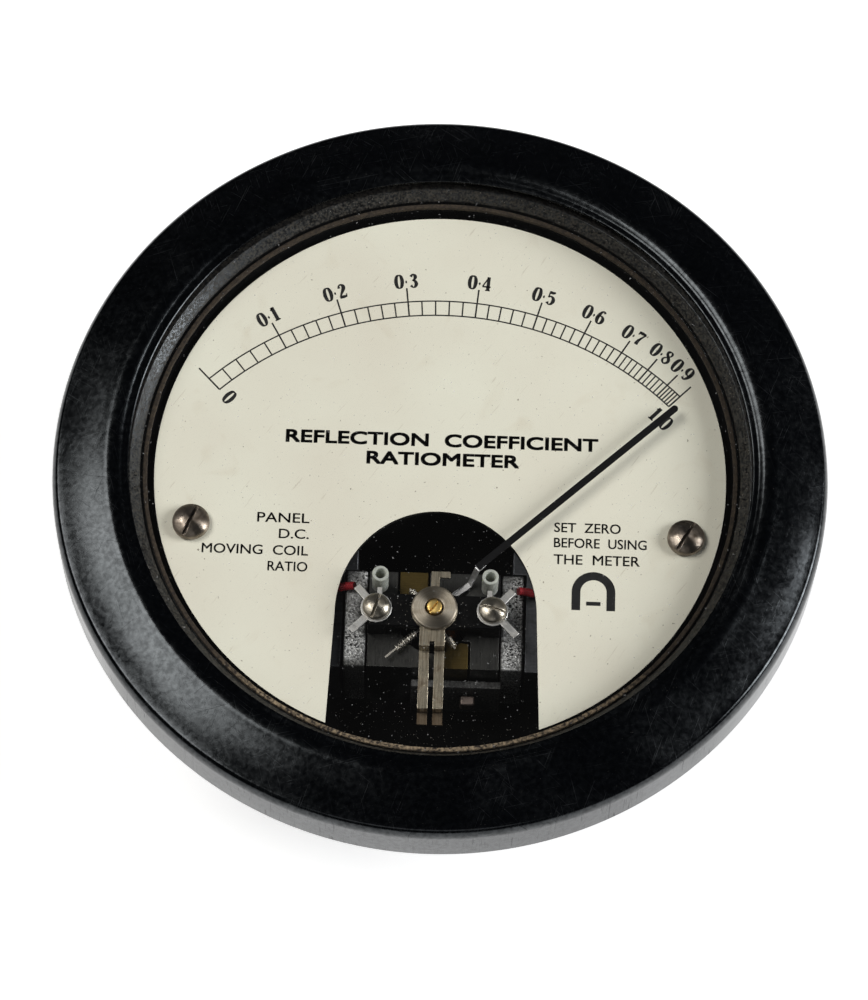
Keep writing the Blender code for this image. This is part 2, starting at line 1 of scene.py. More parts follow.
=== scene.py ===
"""Looks of a round panel ratiometer for standing-wave readings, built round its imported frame.

Sizes are in millimetres and are turned into metres once, where a mesh is handed over.
Heights of the case are counted from the rim, the top edge of the flange's outer wall,
and heights of the movement from the face of the dial.
"""

import logging
import math
from collections.abc import Iterable, Sequence
from dataclasses import dataclass, field
from enum import Enum
from typing import Any

import bmesh
import bpy
from mathutils import Matrix, Vector


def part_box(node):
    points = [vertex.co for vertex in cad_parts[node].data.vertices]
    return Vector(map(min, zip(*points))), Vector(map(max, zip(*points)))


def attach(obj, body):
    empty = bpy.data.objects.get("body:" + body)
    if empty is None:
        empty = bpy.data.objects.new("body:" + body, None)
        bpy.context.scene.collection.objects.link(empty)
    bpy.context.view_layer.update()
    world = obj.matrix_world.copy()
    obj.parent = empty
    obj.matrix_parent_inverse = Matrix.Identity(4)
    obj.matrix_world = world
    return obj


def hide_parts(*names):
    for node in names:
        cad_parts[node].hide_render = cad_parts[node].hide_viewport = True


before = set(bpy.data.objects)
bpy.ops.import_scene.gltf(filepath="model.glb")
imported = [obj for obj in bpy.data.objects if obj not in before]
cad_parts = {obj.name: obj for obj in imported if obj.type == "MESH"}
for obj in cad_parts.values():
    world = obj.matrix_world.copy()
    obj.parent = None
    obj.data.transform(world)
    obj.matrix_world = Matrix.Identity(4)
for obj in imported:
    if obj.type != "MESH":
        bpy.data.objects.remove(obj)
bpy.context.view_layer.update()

MM = 0.001
LOG = logging.getLogger("ratiometer")
Colour = tuple[float, float, float]
Spot = tuple[float, float]
Route = Sequence[tuple[float, float, float]]
Piece = bpy.types.Object
Node = bpy.types.Node
Socket = bpy.types.NodeSocket
Sockets = dict[str, Socket]
INK_GAP = 0.004


class Body(Enum):
    """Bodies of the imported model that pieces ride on."""

    CASE = "case"
    MOVEMENT = "movement"
    ADJUSTER = "adjuster"


class Slot(Enum):
    """Material slots of the record."""

    BAKELITE = "bakelite_black"
    GLASS = "window_glass"
    GASKET = "brown_gasket"
    CREAM = "dial_cream"
    BLACK = "black_paint"
    STEEL = "bright_steel"
    NICKEL = "nickel_silver"
    BRASS = "brass"
    IRON = "soft_iron"
    ALNICO = "cast_alnico"
    WIRE = "wound_wire"
    SLEEVE = "sleeve_plastic"
    CARD = "resistor_card"
    RED = "red_sleeving"


class ScrewHead(Enum):
    """Shapes of slotted screw heads."""

    ROUND = "round"
    CHEESE = "cheese"


# --- node trees ------------------------------------------------------------------
class Tree:
    """Writes a node tree: one call adds a node, sets it and joins its inputs."""

    def __init__(self, tree: bpy.types.NodeTree) -> None:
        """Keep the tree that the nodes go into."""
        self.tree = tree

    def add(self, kind: str, inputs: dict[str | int, Any] | None = None, **settings: Any) -> Node:
        """Add a node.

        Args:
            kind: Blender's name of the node type.
            inputs: What each input socket gets: a value, a socket or a node's first output.
            settings: The node's own properties.

        Returns:
            The new node.
        """
        node = self.tree.nodes.new(kind)
        for key, value in settings.items():
            setattr(node, key, value)
        for key, value in (inputs or {}).items():
            if isinstance(value, Node):
                value = value.outputs[0]
            if isinstance(value, Socket):
                self.tree.links.new(value, node.inputs[key])
            else:
                node.inputs[key].default_value = value
        return node


class ShaderTree(Tree):
    """A material's tree, with the few patterns that the finishes share. Lengths are in millimetres."""

    def place(self, stretch: Colour = (1.0, 1.0, 1.0), turn: Colour = (0.0, 0.0, 0.0)) -> Socket:
        """Object coordinates in millimetres, turned and then stretched.

        Args:
            stretch: Scale along each axis, on top of the change to millimetres.
            turn: Rotation in degrees about each axis.

        Returns:
            The vector socket.
        """
        coords = self.add("ShaderNodeTexCoord")
        angles = tuple(math.radians(angle) for angle in turn)
        turned = self.add("ShaderNodeMapping", {"Vector": coords.outputs["Object"], "Rotation": angles})
        scale = tuple(value / MM for value in stretch)
        return self.add("ShaderNodeMapping", {"Vector": turned, "Scale": scale}).outputs[0]

    def noise(self, scale: float, detail: float = 3.0, vector: Any = None, warp: float = 0.0) -> Socket:
        """Noise value from 0 to 1.

        Args:
            scale: Features per millimetre.
            detail: Octaves.
            vector: Coordinates, plain object coordinates if left out.
            warp: Distortion of the pattern.

        Returns:
            The value socket.
        """
        vector = self.place() if vector is None else vector
        sizes = {"Scale": scale, "Detail": detail, "Distortion": warp}
        return self.add("ShaderNodeTexNoise", {"Vector": vector, **sizes}).outputs[0]

    def spread(self, value: Any, low: float, high: float, to_low: float = 0.0, to_high: float = 1.0) -> Any:
        """Map a value's range low to high onto another range, clamped.

        Args:
            value: Socket to map.
            low: Start of its range.
            high: End of its range.
            to_low: What low becomes.
            to_high: What high becomes.

        Returns:
            The value socket.
        """
        limits = {"From Min": low, "From Max": high, "To Min": to_low, "To Max": to_high}
        return self.add("ShaderNodeMapRange", {"Value": value, **limits}).outputs[0]

    def share(self, value: Any, to_low: float, to_high: float) -> Socket:
        """A value that runs from 0 to 1, mapped onto another range."""
        return self.spread(value, 0.0, 1.0, to_low, to_high)

    def along(self, axis: int) -> Socket:
        """Distance in millimetres along X, Y or Z, numbered 0, 1 and 2."""
        return self.add("ShaderNodeSeparateXYZ", {0: self.place()}).outputs[axis]

    def sum(self, first: Any, second: Any, operation: str = "ADD") -> Socket:
        """Two values joined by one arithmetic operation."""
        return self.add("ShaderNodeMath", {0: first, 1: second}, operation=operation).outputs[0]

    def blend(self, share: Any, first: Any, second: Any) -> Socket:
        """Mix two colours.

        Args:
            share: How much of the second colour, from 0 to 1.
            first: First colour, three numbers or a socket.
            second: Second colour, three numbers or a socket.

        Returns:
            The colour socket.
        """
        pair = [(*colour, 1.0) if isinstance(colour, tuple) else colour for colour in (first, second)]
        mixed = self.add("ShaderNodeMix", {0: share, 6: pair[0], 7: pair[1]}, data_type="RGBA")
        return mixed.outputs[2]

    def scratches(self, turn: float, low: float, along: float = 0.12, across: float = 3.2) -> Any:
        """Thin straight scratches in one direction on level surfaces.

        Args:
            turn: Direction in degrees about the vertical.
            low: Noise level above which a scratch shows: higher means fewer.
            along: Features per millimetre along a scratch.
            across: Features per millimetre across it.

        Returns:
            The value socket, 1 on a scratch.
        """
        pattern = self.noise(1.0, 2.0, self.place((across, along, along), (0.0, 0.0, turn)), 0.3)
        return self.spread(pattern, low, low + 0.04)

    def bump(self, height: Any, depth: float, strength: float = 1.0) -> Socket:
        """Surface relief of a depth in millimetres from a height value."""
        sizes = {"Strength": strength, "Distance": depth * MM}
        return self.add("ShaderNodeBump", {"Height": height, **sizes}).outputs[0]


# --- finishes ----------------------------------------------------------------------
@dataclass(frozen=True)
class Finish:
    """What every finish has: a name, a colour, a gloss and a slot of the record."""

    name: str
    slot: Slot
    colour: Colour
    roughness: float = 0.4

    def material(self) -> bpy.types.Material:
        """The material of this finish, made when it is first asked for."""
        made = bpy.data.materials.get(self.name)
        if made is None:
            made = bpy.data.materials.new(self.name)
            made.use_nodes = True
            made.diffuse_color = (*self.colour, 1.0)
            shader = made.node_tree.nodes["Principled BSDF"]
            tree = ShaderTree(made.node_tree)
            for socket, value in self.paint(tree, shader).items():
                tree.tree.links.new(value, shader.inputs[socket])
        return made

    def paint(self, tree: ShaderTree, shader: Node) -> Sockets:
        """Patterns of the finish.

        Args:
            tree: The material's tree.
            shader: Its Principled shader, for values that are the same all over.

        Returns:
            What goes into each of the shader's sockets.
        """
        raise NotImplementedError


@dataclass(frozen=True)
class Bakelite(Finish):
    """Polished moulding with hairline scratches and rubbed patches, dusty on chosen heights."""

    scuffed: float = 1.0
    dusty_from: float = 0.0
    dusty_to: float = 0.0

    def paint(self, tree: ShaderTree, shader: Node) -> Sockets:
        """Scratches lift the roughness and pale the black a little; dust lies in specks."""
        shader.inputs["Specular Tint"].default_value = (0.88, 0.95, 1.0, 1.0)
        hairs = tree.scratches(20.0, 0.66, 0.16, 7.0)
        for turn in (75.0, 128.0, 163.0):
            hairs = tree.sum(hairs, tree.scratches(turn, 0.675, 0.12, 8.0), "MAXIMUM")
        rubbed = tree.spread(tree.noise(0.09, 5.0, warp=0.4), 0.40, 0.72)
        marks = tree.sum(hairs, tree.share(rubbed, 0.25, 1.0), "MULTIPLY")
        grime = tree.noise(1.5, 8.0, warp=0.3)
        mottle = tree.spread(grime, 0.3, 0.75, 0.0, 0.08)
        rough = tree.sum(tree.share(rubbed, self.roughness, self.roughness + 0.10), mottle)
        rough = tree.sum(rough, tree.share(marks, 0.0, 0.22 * self.scuffed))
        colour = tree.blend(tree.share(marks, 0.0, 0.02 * self.scuffed), self.colour, (0.32, 0.33, 0.34))
        specks = tree.spread(tree.noise(4.5, 2.0), 0.735, 0.765, 0.0, 0.25)
        colour = tree.blend(specks, colour, (0.16, 0.15, 0.13))
        if self.dusty_to > self.dusty_from:
            height = tree.along(2)
            film = tree.sum(tree.spread(height, self.dusty_from, self.dusty_from + 0.2),
                            tree.spread(height, self.dusty_to, self.dusty_to + 0.2, 1.0, 0.0), "MULTIPLY")
            grain = tree.spread(tree.noise(3.4, 5.0), 0.42, 0.74, 0.01, 0.42)
            film = tree.sum(film, grain, "MULTIPLY")
            colour = tree.blend(film, colour, (0.19, 0.165, 0.125))
            rough = tree.sum(rough, tree.spread(film, 0.0, 0.3, 0.0, 0.5))
        relief = tree.sum(tree.noise(0.25, 2.0), tree.share(marks, 0.0, -0.12))
        relief = tree.sum(relief, tree.spread(tree.noise(2.8, 4.0), 0.2, 0.8, 0.0, 0.25))
        gleam = tree.spread(grime, 0.36, 0.64, 0.30, 0.62)
        cuts = tree.sum(tree.scratches(52.0, 0.69, 0.10, 5.0), tree.scratches(100.0, 0.68, 0.12, 6.0))
        gleam = tree.sum(gleam, tree.share(cuts, 1.0, 0.35), "MULTIPLY")
        return {"Base Color": colour, "Roughness": rough, "Specular IOR Level": gleam,
                "Normal": tree.bump(relief, 0.015, 0.5)}


@dataclass(frozen=True)
class Metal(Finish):
    """Worked metal: brush lines, tarnish in soft patches and small pits."""

    tarnish: Colour = (0.16, 0.12, 0.08)
    brush: Colour = (0.4, 9.0, 0.4)
    turn: float = 0.0
    worn: float = 0.5
    turned: float = 0.0
    lines: float = 0.35
    # Height in mm below which painted shade darkens the metal; below zero for none.
    painted_shade_below: float = -1.0

    def paint(self, tree: ShaderTree, shader: Node) -> Sockets:
        """Brush lines vary the gloss; tarnish darkens patches and pits, and painted shade darkens the parts below a
        set height.
        """
        shader.inputs["Metallic"].default_value = 1.0
        shader.inputs["Anisotropic"].default_value = self.turned
        if self.turned:
            rings = tree.add("ShaderNodeUVMap", uv_map="turned")
            marks = tree.add("ShaderNodeMapping", {"Vector": rings, "Scale": (0.62, 1.5, 1.0)}).outputs[0]
        else:
            marks = tree.place(self.brush, (0.0, 0.0, self.turn))
        lines = tree.noise(1.0, 3.0, marks)
        cloud = tree.spread(tree.noise(0.55, 5.0, warp=0.6), 0.42, 0.70, 0.0, self.worn)
        pits = tree.spread(tree.noise(7.0, 2.0), 0.66, 0.72, 0.0, 0.6)
        tarnish_and_shade = tree.sum(cloud, pits, "MAXIMUM")
        # Painted shade: everything below the set height, under the dial, is turned towards the tarnish colour and made
        # rougher.
        if self.painted_shade_below > 0.0:
            height = tree.along(2)
            tarnish_and_shade = tree.sum(tarnish_and_shade, tree.spread(height, self.painted_shade_below - 0.6, self.painted_shade_below, 0.9, 0.0), "MAXIMUM")
        shade = tuple(0.35 * c for c in self.colour)
        tint = tree.blend(tree.spread(lines, 0.35, 0.65, 0.0, self.lines), self.colour, shade)
        colour = tree.blend(tarnish_and_shade, tint, self.tarnish)
        rough = tree.sum(tree.spread(lines, 0.3, 0.7, self.roughness - 0.06, self.roughness + 0.08),
                         tree.share(tarnish_and_shade, 0.0, 0.22))
        relief = tree.bump(tree.sum(lines, tree.share(pits, 0.0, -1.0)), 0.012, 0.6)
        painted = {"Base Color": colour, "Roughness": rough, "Normal": relief}
        if self.turned:
            painted["Tangent"] = tree.add("ShaderNodeTangent", direction_type="UV_MAP", uv_map="turned").outputs[0]
        return painted


@dataclass(frozen=True)
class Casting(Finish):
    """Coarse cast and ground magnet metal with dark open pits and bright ground spots."""

    pit: Colour = (0.02, 0.02, 0.02)

    def paint(self, tree: ShaderTree, shader: Node) -> Sockets:
        """Pits, stronger in patches, over a grey that sparkles where it was ground."""
        shader.inputs["Metallic"].default_value = 0.75
        grain = tree.noise(3.2, 6.0)
        pits = tree.spread(grain, 0.47, 0.60)
        patches = tree.spread(tree.noise(0.16, 4.0), 0.42, 0.58, 0.45, 1.0)
        bright = tree.blend(tree.spread(tree.noise(5.5, 2.0), 0.55, 0.66), self.colour, (0.92, 0.93, 0.95))
        worn = tree.spread(tree.noise(0.19, 3.0, tree.place((1.0, 1.0, 0.3), (0.0, 0.0, 11.0))), 0.40, 0.56)
        bright = tree.blend(worn, (0.10, 0.10, 0.095), bright)
        colour = tree.blend(tree.sum(pits, patches, "MULTIPLY"), bright, self.pit)
        rough = tree.spread(grain, 0.4, 0.6, self.roughness, 0.75)
        return {"Base Color": colour, "Roughness": rough, "Normal": tree.bump(grain, 0.12, 1.0)}


@dataclass(frozen=True)
class Enamel(Finish):
    """Cream stoved enamel of the dial, with painted shade, near black, on its cut edges: faint yellowing, dark specks
    and pale stains.
    """

    speck: Colour = (0.18, 0.14, 0.09)

    def paint(self, tree: ShaderTree, shader: Node) -> Sockets:
        """Large soft changes of tone, stains, two sizes of specks, and painted shade on faces that do not face up."""
        tone = tree.spread(tree.noise(0.045, 3.0), 0.35, 0.7)
        colour = tree.blend(tone, self.colour, (0.86, 0.82, 0.68))
        stain = tree.spread(tree.noise(0.16, 6.0, warp=1.0), 0.60, 0.78, 0.0, 0.22)
        colour = tree.blend(stain, colour, (0.62, 0.52, 0.36))
        specks = tree.spread(tree.noise(2.3, 1.0), 0.765, 0.79, 0.0, 0.75)
        fine = tree.spread(tree.noise(7.0, 2.0), 0.70, 0.76, 0.0, 0.28)
        colour = tree.blend(tree.sum(specks, fine, "MAXIMUM"), colour, self.speck)
        hair = tree.share(tree.scratches(35.0, 0.69, 0.2, 2.5), 0.0, 0.3)
        colour = tree.blend(hair, colour, (0.45, 0.38, 0.27))
        # Painted shade: faces that do not face up, the plate's cut edges, are turned near black.
        facing = tree.add("ShaderNodeNewGeometry").outputs["Normal"]
        level = tree.add("ShaderNodeSeparateXYZ", {0: facing}).outputs[2]
        colour = tree.blend(tree.spread(level, 0.35, 0.9, 1.0, 0.0), colour, (0.012, 0.011, 0.010))
        rough = tree.spread(tree.noise(1.2, 4.0), 0.3, 0.7, self.roughness - 0.07, self.roughness + 0.1)
        relief = tree.bump(tree.noise(3.0, 4.0), 0.010, 0.5)
        return {"Base Color": colour, "Roughness": rough, "Normal": relief}


@dataclass(frozen=True)
class Lacquer(Finish):
    """Black paint or ink, slightly uneven, with lint specks where dust is wanted."""

    lint: float = 0.0
    shine: float = 0.25

    def paint(self, tree: ShaderTree, shader: Node) -> Sockets:
        """Uneven gloss, orange-peel relief and pale specks."""
        shader.inputs["Specular IOR Level"].default_value = self.shine
        uneven = tree.noise(1.8, 4.0)
        specks = tree.spread(tree.noise(3.6, 2.0), 0.70, 0.74, 0.0, self.lint)
        pale = tuple(1.7 * c for c in self.colour)
        colour = tree.blend(tree.spread(uneven, 0.3, 0.7, 0.0, 0.5), self.colour, pale)
        colour = tree.blend(specks, colour, (0.35, 0.33, 0.29))
        rough = tree.spread(uneven, 0.3, 0.7, self.roughness - 0.1, self.roughness + 0.1)
        return {"Base Color": colour, "Roughness": rough, "Normal": tree.bump(uneven, 0.01, 0.5)}


@dataclass(frozen=True)
class Fibre(Finish):
    """Pressed fibre, cork or paper: mottled, crumbly and matt."""

    dark: Colour = (0.05, 0.035, 0.02)
    grain: float = 2.2
    # Y in mm beyond which painted shade darkens the piece; only the front below it keeps painted light. Zero for none.
    painted_light_below: float = 0.0

    def paint(self, tree: ShaderTree, shader: Node) -> Sockets:
        """Crumbs of two colours with relief; with painted light and shade, a piece is pale only at its lower front and
        dark further back.
        """
        crumbs = tree.noise(self.grain, 6.0, warp=0.5)
        share = tree.spread(crumbs, 0.38, 0.66)
        # Painted light and shade: the pale crumbs show only at the lower front and fade to the dark colour further
        # back.
        if self.painted_light_below:
            front = tree.along(1)
            front_light = tree.spread(front, self.painted_light_below - 6.0, self.painted_light_below, 1.0, 0.12)
            share = tree.sum(share, front_light, "MULTIPLY")
        colour = tree.blend(share, self.dark, self.colour)
        rough = tree.spread(crumbs, 0.3, 0.7, self.roughness, min(1.0, self.roughness + 0.12))
        return {"Base Color": colour, "Roughness": rough, "Normal": tree.bump(crumbs, 0.08, 0.9)}


@dataclass(frozen=True)
class Plastic(Finish):
    """Milky sleeve plastic that glows a little, with dust on it."""

    def paint(self, tree: ShaderTree, shader: Node) -> Sockets:
        """Light passes into the wall; specks and streaks vary it."""
        shader.inputs["Subsurface Weight"].default_value = 0.35
        shader.inputs["Subsurface Radius"].default_value = (0.6, 0.6, 0.5)
        shader.inputs["Subsurface Scale"].default_value = 1.2 * MM
        streak = tree.noise(1.0, 3.0, tree.place((2.5, 2.5, 0.5)))
        colour = tree.blend(tree.spread(streak, 0.35, 0.7, 0.0, 0.6), self.colour, (0.40, 0.42, 0.38))
        colour = tree.blend(tree.spread(tree.noise(5.0, 2.0), 0.68, 0.72, 0.0, 0.6), colour, (0.12, 0.10, 0.08))
        rough = tree.spread(streak, 0.3, 0.7, self.roughness - 0.08, self.roughness + 0.1)
        return {"Base Color": colour, "Roughness": rough, "Normal": tree.bump(streak, 0.02, 0.5)}


@dataclass(frozen=True)
class Braid(Finish):
    """Varnished woven sleeving that follows the wire by its own map."""

    turns: float = 9.0
    length: float = 60.0

    def paint(self, tree: ShaderTree, shader: Node) -> Sockets:
        """Two crossing sets of threads, dark in the hollows."""
        around = tree.add("ShaderNodeUVMap", uv_map="along")
        threads = []
        for lean in (1.0, -1.0):
            scale = (self.turns, self.length * lean, 1.0)
            stretched = tree.add("ShaderNodeMapping", {"Vector": around, "Scale": scale})
            wave = tree.add("ShaderNodeTexWave", {"Vector": stretched, "Scale": 0.5, "Distortion": 0.0},
                            wave_type="BANDS", bands_direction="DIAGONAL")
            threads.append(wave.outputs["Fac"])
        weave = tree.sum(threads[0], threads[1], "MAXIMUM")
        fuzz = tree.noise(4.0, 4.0)
        colour = tree.blend(tree.spread(weave, 0.3, 0.9), tuple(0.25 * c for c in self.colour), self.colour)
        colour = tree.blend(tree.spread(fuzz, 0.62, 0.72, 0.0, 0.3), colour, (0.55, 0.30, 0.28))
        rough = tree.spread(weave, 0.2, 0.9, 0.75, self.roughness)
        return {"Base Color": colour, "Roughness": rough, "Normal": tree.bump(weave, 0.06, 1.0)}


@dataclass(frozen=True)
class Pane(Finish):
    """Clear window glass with a thin scatter of dust."""

    def paint(self, tree: ShaderTree, shader: Node) -> Sockets:
        """Nearly nothing shows but the dust and a trace of gloss."""
        dust = tree.spread(tree.noise(2.4, 2.0), 0.735, 0.76, 0.0, 0.30)
        smear = tree.spread(tree.noise(0.10, 4.0, warp=1.2), 0.55, 0.80, 0.0, 0.002)
        clear = tree.sum(tree.sum(dust, smear, "MAXIMUM"), 0.002)
        rough = tree.spread(dust, 0.0, 0.2, self.roughness, 0.8)
        return {"Alpha": clear, "Roughness": rough}


@dataclass(frozen=True)
class Backdrop(Finish):
    """Plain pale paper of the studio floor, lifted to a clean white."""

    lift: float = 0.3

    def paint(self, tree: ShaderTree, shader: Node) -> Sockets:
        """Paper tooth in the gloss and colour."""
        shader.inputs["Emission Color"].default_value = (1.0, 1.0, 1.0, 1.0)
        shader.inputs["Emission Strength"].default_value = self.lift
        tooth = tree.noise(0.8, 4.0)
        colour = tree.blend(tree.spread(tooth, 0.3, 0.7, 0.0, 0.3), self.colour, (0.90, 0.90, 0.90))
        return {"Base Color": colour, "Roughness": tree.spread(tooth, 0.3, 0.7, 0.75, 0.95)}


RING_MOULDING = Bakelite("ring_moulding", Slot.BAKELITE, (0.0007, 0.0009, 0.0014), 0.13)
CASE_MOULDING = Bakelite("case_moulding", Slot.BAKELITE, (0.003, 0.003, 0.0035), 0.24, 0.7, 46.95, 48.2)
WINDOW = Pane("window_pane", Slot.GLASS, (0.9, 0.92, 0.92), 0.04)
# The packing ring is pale only at its lower front, painted light; further back it gets painted shade.
PACKING = Fibre("packing_ring", Slot.GASKET, (0.36, 0.275, 0.175), 0.85, (0.02, 0.013, 0.008), 2.4, -27.0)
DIAL_ENAMEL = Enamel("dial_enamel", Slot.CREAM, (0.92, 0.905, 0.755), 0.5)
DIAL_INK = Lacquer("dial_ink", Slot.BLACK, (0.012, 0.012, 0.012), 0.55)
POINTER_BLACK = Lacquer("pointer_black", Slot.BLACK, (0.004, 0.004, 0.0045), 0.6, 0.0, 0.12)
PLATE_BLACK = Lacquer("plate_black", Slot.BLACK, (0.0012, 0.0012, 0.0012), 0.6, 0.8, 0.03)
BRIDGE_BLACK = Lacquer("bridge_black", Slot.BLACK, (0.0016, 0.0016, 0.0018), 0.45, 0.4, 0.08)
DIAL_SCREW_METAL = Metal("dial_screw_plating", Slot.STEEL, (0.40, 0.34, 0.28), 0.30, (0.045, 0.032, 0.02),
                         (5.0, 5.0, 0.6), 0.0, 0.85, 0.85)
SCREW_METAL = Metal("screw_plating", Slot.STEEL, (0.60, 0.55, 0.46), 0.29, (0.09, 0.07, 0.045),
                    (4.0, 4.0, 0.6), 0.0, 0.6, 0.75)
DISC_METAL = Metal("disc_steel", Slot.STEEL, (0.48, 0.425, 0.34), 0.42, (0.12, 0.09, 0.06),
                   (1.0, 5.0, 1.0), 20.0, 0.5, 0.85)
POST_METAL = Metal("post_metal", Slot.BRASS, (0.52, 0.42, 0.37), 0.5, (0.10, 0.07, 0.06), (2.0, 2.0, 2.0))
PIVOT_STEEL = Metal("pivot_steel", Slot.STEEL, (0.60, 0.60, 0.60), 0.22)
# The lever gets painted shade on its lower parts, below 44.4 mm, under the dial.
LEVER_METAL = Metal("lever_nickel_silver", Slot.NICKEL, (0.82, 0.73, 0.56), 0.33, (0.09, 0.06, 0.035),
                    (4.2, 0.22, 0.35), 1.5, 0.75, 0.0, 1.0, 44.4)
TAG_METAL = Metal("tag_tinned", Slot.NICKEL, (0.97, 0.96, 0.93), 0.36, (0.30, 0.27, 0.21),
                  (1.0, 2.0, 1.0), 40.0, 0.45)
CRANK_METAL = Metal("crank_aluminium", Slot.STEEL, (0.95, 0.95, 0.95), 0.48, (0.5, 0.48, 0.45),
                    (0.4, 2.0, 0.4), 43.0, 0.15)
JEWEL_BRASS = Metal("jewel_brass", Slot.BRASS, (0.95, 0.66, 0.22), 0.42, (0.40, 0.25, 0.08),
                    (3.0, 3.0, 0.5), 0.0, 0.25)
SPACER_BRASS = Metal("spacer_brass", Slot.BRASS, (0.13, 0.092, 0.03), 0.40, (0.05, 0.036, 0.012), (0.4, 7.0, 0.4),
                     0.0, 0.8)
TERMINAL_BRASS = Metal("terminal_brass", Slot.BRASS, (0.72, 0.54, 0.24), 0.30, (0.20, 0.13, 0.05), (3.0, 3.0, 0.5))
POLE_IRON = Metal("pole_iron", Slot.IRON, (0.105, 0.105, 0.10), 0.32, (0.025, 0.025, 0.022),
                  (7.0, 0.3, 0.4), 0.0, 0.6)
YOKE_IRON = Metal("yoke_iron", Slot.IRON, (0.13, 0.135, 0.145), 0.42, (0.04, 0.04, 0.04), (0.6, 3.0, 0.6), 0.0, 0.6)
MAGNET_METAL = Casting("magnet_casting", Slot.ALNICO, (0.40, 0.40, 0.39), 0.40)
WIRE_COPPER = Metal("enamelled_wire", Slot.WIRE, (0.10, 0.042, 0.018), 0.40, (0.03, 0.012, 0.006), (2.0, 2.0, 2.0))
WEIGHT_WIRE = Metal("weight_wire", Slot.WIRE, (0.80, 0.76, 0.68), 0.40, (0.25, 0.21, 0.16),
                    (2.0, 2.0, 2.0), 0.0, 0.3)
SLEEVE_WHITE = Plastic("sleeve_milky", Slot.SLEEVE, (0.50, 0.52, 0.47), 0.25)
CARD_GREY = Fibre("resistor_fibre", Slot.CARD, (0.13, 0.13, 0.125), 0.6, (0.03, 0.03, 0.03), 3.4)
LEAD_RED = Braid("lead_braid", Slot.RED, (0.42, 0.008, 0.018), 0.5)
DUST = Fibre("dust_grains", Slot.BLACK, (0.66, 0.63, 0.57), 0.9, (0.40, 0.38, 0.33), 6.0)
FLOOR_PAPER = Backdrop("studio_paper", Slot.CREAM, (0.95, 0.95, 0.95), 0.85, 0.62)


# --- solid shapes ----------------------------------------------------------------------
@dataclass(frozen=True)
class Datum:
    """Places that everything is built from, in millimetres, read from the frame."""

    rim: float
    dial: float
    axis: Vector

    @classmethod
    def read(cls) -> "Datum":
        """Find the rim, the dial's face and the movement's axis from CAD boxes."""
        flange_depth = 6.4
        low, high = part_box("lock_disc")
        middle = (low + high) / 2 / MM
        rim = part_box("bezel_ring")[0].z / MM + flange_depth
        return cls(rim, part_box("dial_plate")[1].z / MM, middle)

    def on_rim(self) -> Matrix:
        """Place of shapes drawn about the case axis with heights from the rim."""
        return lifted(self.rim)

    def on_dial(self, x: float = 0.0, y: float = 0.0, turn: float = 0.0) -> Matrix:
        """Place of shapes drawn at a spot of the dial with heights from its face."""
        return Matrix.Translation((x, y, self.dial)) @ rotated(turn)

    def on_axis(self, x: float = 0.0, y: float = 0.0, turn: float = 0.0) -> Matrix:
        """Place of shapes drawn from the movement's axis with heights from the dial's face."""
        pivot = Matrix.Translation((self.axis.x, self.axis.y, self.dial))
        return pivot @ rotated(turn) @ Matrix.Translation((x, y, 0.0))


HERE = Datum.read()


def arc(radius: float, start: float, end: float, steps: int, centre: Spot = (0.0, 0.0)) -> list[Spot]:
    """Points on a circle.

    Args:
        radius: Its radius.
        start: First direction in degrees.
        end: Last direction in degrees.
        steps: Number of equal steps.
        centre: Its centre.

    Returns:
        The points, both ends included.
    """
    angles = [math.radians(start + (end - start) * step / steps) for step in range(steps + 1)]
    return [(centre[0] + radius * math.cos(a), centre[1] + radius * math.sin(a)) for a in angles]


def show(name: str, data: bpy.types.ID) -> Piece:
    """New object in the scene, at the origin."""
    item = bpy.data.objects.new(name, data)
    bpy.context.scene.collection.objects.link(item)
    return item


def lifted(height: float) -> Matrix:
    """Shift straight up."""
    return Matrix.Translation((0.0, 0.0, height))


def rotated(angle: float, axis: str = "Z") -> Matrix:
    """Rotation by an angle in degrees."""
    return Matrix.Rotation(math.radians(angle), 4, axis)


def in_metres(place: Matrix) -> Matrix:
    """The same place for a mesh that is already in metres."""
    return Matrix.Translation(place.translation * MM) @ place.to_3x3().to_4x4()


def foot_of(node: str) -> tuple[Matrix, float]:
    """Place at the bottom of a CAD node, in the middle of its box, and the node's height."""
    low, high = (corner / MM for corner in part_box(node))
    return Matrix.Translation(((low.x + high.x) / 2, (low.y + high.y) / 2, low.z)), high.z - low.z


def as_mesh(name: str, bm: bmesh.types.BMesh) -> bpy.types.Mesh:
    """Write a shape into a new mesh; the shape is used up."""
    mesh = bpy.data.meshes.new(name)
    bm.to_mesh(mesh)
    bm.free()
    return mesh


def hand_over(name: str, bm: bmesh.types.BMesh, place: Matrix | None = None) -> Piece:
    """Turn a shape in millimetres into an object at the origin with its mesh in metres.

    Args:
        name: Name of the object.
        bm: The shape, which is used up.
        place: Where it goes, in millimetres.

    Returns:
        The new object.
    """
    matrix = Matrix.Scale(MM, 4) @ (place or Matrix.Identity(4))
    bmesh.ops.transform(bm, matrix=matrix, verts=bm.verts)
    bmesh.ops.recalc_face_normals(bm, faces=bm.faces)
    return show(name, as_mesh(name, bm))


